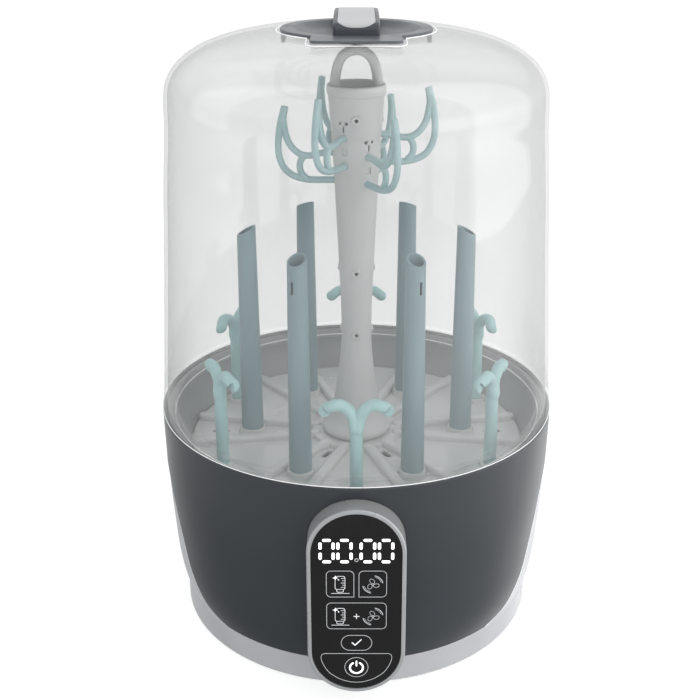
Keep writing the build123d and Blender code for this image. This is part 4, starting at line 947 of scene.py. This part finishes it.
world = bpy.data.worlds.new("studio")
scene.world = world
sky = ShaderGraph(world, output="ShaderNodeOutputWorld")
direction = sky.add("ShaderNodeSeparateXYZ", {
    0: sky.add("ShaderNodeTexCoord").outputs["Generated"]})
to_right, to_back, upward = direction.outputs
angle_round = sky.math("ARCTAN2", to_right, sky.math("MULTIPLY", to_back, -1.0))
bearing = sky.math("FRACT", sky.math("ADD", sky.math("DIVIDE", angle_round, 2 * math.pi), 1.0))


def by_bearing(stops, top=2.5):
    """Brightness round the horizon; the ramp is stored as shares of top."""
    node = sky.add("ShaderNodeValToRGB", {0: bearing})
    elements = node.color_ramp.elements
    node.color_ramp.interpolation = "LINEAR"
    while len(elements) < len(stops):
        elements.new(0.5)
    for element, (position, value) in zip(elements, stops):
        element.position = position
        element.color = (value / top, value / top, value / top, 1)
    return sky.math("MULTIPLY", node.outputs[0], top)


def step(value, start, end, low=0.0, high=1.0):
    return sky.span(value, low, high, start, end, curve="SMOOTHSTEP")


def blend(factor, a, b):
    kept = sky.math("MULTIPLY", a, sky.math("SUBTRACT", 1.0, factor))
    return sky.math("ADD", kept, sky.math("MULTIPLY", b, factor))


def window(start, end, foot, curl, rises_to_start, gain):
    """Tall light panel between two bearings; its lower edge curls up towards one side."""
    soft_side, soft_foot = 0.003, 0.006
    inside = sky.math("MULTIPLY", step(bearing, start - soft_side, start + soft_side),
                      step(bearing, end - soft_side, end + soft_side, low=1.0, high=0.0))
    across = step(bearing, end, start) if rises_to_start else step(bearing, start, end)
    rise = sky.math("MULTIPLY", sky.math("POWER", across, 3.0), curl)
    lower_edge = sky.math("ADD", rise, foot)
    above = step(sky.math("SUBTRACT", upward, lower_edge), -soft_foot, soft_foot)
    return sky.math("MULTIPLY", sky.math("MULTIPLY", inside, above), gain)


def above_ground():
    return step(upward, -0.52, -0.44)


def reflected_studio():
    # level surroundings, the taller panels above them, and the ceiling
    sides = blend(step(upward, -0.145, -0.05), by_bearing(LEVEL), by_bearing(UPPER))
    ceiling = sky.math("MULTIPLY", step(upward, 0.05, 0.22), CEILING_SHARE)
    value = blend(ceiling, sides, CEILING_VALUE)
    # right-hand panel, small left-hand panel, and the bright rear wall
    rear_wall = sky.math("MULTIPLY", step(to_back, 0.52, 0.58),
                         step(upward, 0.25, 0.40, high=0.30))
    for light in (window(start=0.198, end=0.336, foot=-0.224, curl=0.035,
                         rises_to_start=False, gain=0.95),
                  window(start=0.694, end=0.782, foot=-0.150, curl=0.016,
                         rises_to_start=True, gain=0.75),
                  rear_wall):
        value = sky.math("ADD", value, light)
    # pale table top seen in the cover's lower half, darker ground seen in the casing
    table_band = sky.math("MULTIPLY", step(upward, -0.30, -0.04, low=1.0, high=0.0),
                          above_ground())
    table_glow = sky.math("MULTIPLY", table_band, by_bearing(TABLE, top=1.0))
    return sky.math("ADD", blend(above_ground(), by_bearing(GROUND), value), table_glow)


def background(colour, strength):
    return sky.add("ShaderNodeBackground", {0: colour, 1: strength}).outputs[0]


rays = sky.add("ShaderNodeLightPath")
lighting = sky.mix_shader(rays.outputs["Is Glossy Ray"],
                          background(colour=(0.97, 0.985, 1.0, 1), strength=0.92),
                          background(colour=WHITE, strength=reflected_studio()))
sky.finish(sky.mix_shader(rays.outputs["Is Camera Ray"], lighting,
                          background(colour=WHITE, strength=1.0)))

# ---------------------------------------------------------------------------
# lights and camera
# ---------------------------------------------------------------------------


def area_light(name, location, target, size, power, colour=(1, 1, 1)):
    """Rectangular light aimed at a target, seen neither directly nor in reflections."""
    data = bpy.data.lights.new(name, "AREA")
    data.shape = "RECTANGLE"
    data.size, data.size_y = size
    data.energy = power
    data.color = colour
    obj = bpy.data.objects.new(name, data)
    obj.location = location
    aim = Vector(target) - Vector(location)
    obj.rotation_euler = aim.to_track_quat("-Z", "Y").to_euler()
    obj.visible_glossy = False
    obj.visible_camera = False
    collection.objects.link(obj)


area_light("key_right", location=(1.7, -1.2, 1.1), target=(0, 0, 0.22), size=(1.4, 1.4),
           power=16.0, colour=(1.0, 0.99, 0.98))
area_light("front_soft", location=(0.4, -1.9, 1.25), target=(0, 0, 0.15), size=(1.3, 1.0),
           power=9.0)
area_light("top_soft", location=(0.1, 0.1, 2.0), target=(0, 0, 0.2), size=(1.8, 1.8), power=5.0)

CAMERA_DOWN_TILT = 20.731           # degrees below level

lens = bpy.data.cameras.new("photo_camera")
lens.sensor_width = 36.0
lens.sensor_fit = "HORIZONTAL"
lens.lens = 60.597
lens.shift_x = -0.00918
lens.shift_y = -0.0589
lens.clip_start = 0.05
lens.clip_end = 60.0
camera = bpy.data.objects.new("photo_camera", lens)
camera.location = (0.0, -0.78392, 0.52039)
camera.rotation_euler = (math.radians(90 - CAMERA_DOWN_TILT), 0, 0)
collection.objects.link(camera)
scene.camera = camera

# --------------------------------------------------------------------------- render settings
# render settings and hand-over
# ---------------------------------------------------------------------------
scene.view_settings.view_transform = "Standard"
scene.view_settings.look = "None"
scene.view_settings.exposure = 0.0
scene.view_settings.gamma = 1.0
scene.cycles.use_denoising = True
scene.cycles.transparent_max_bounces = 32
scene.cycles.max_bounces = 10
scene.cycles.caustics_reflective = False
scene.cycles.caustics_refractive = False
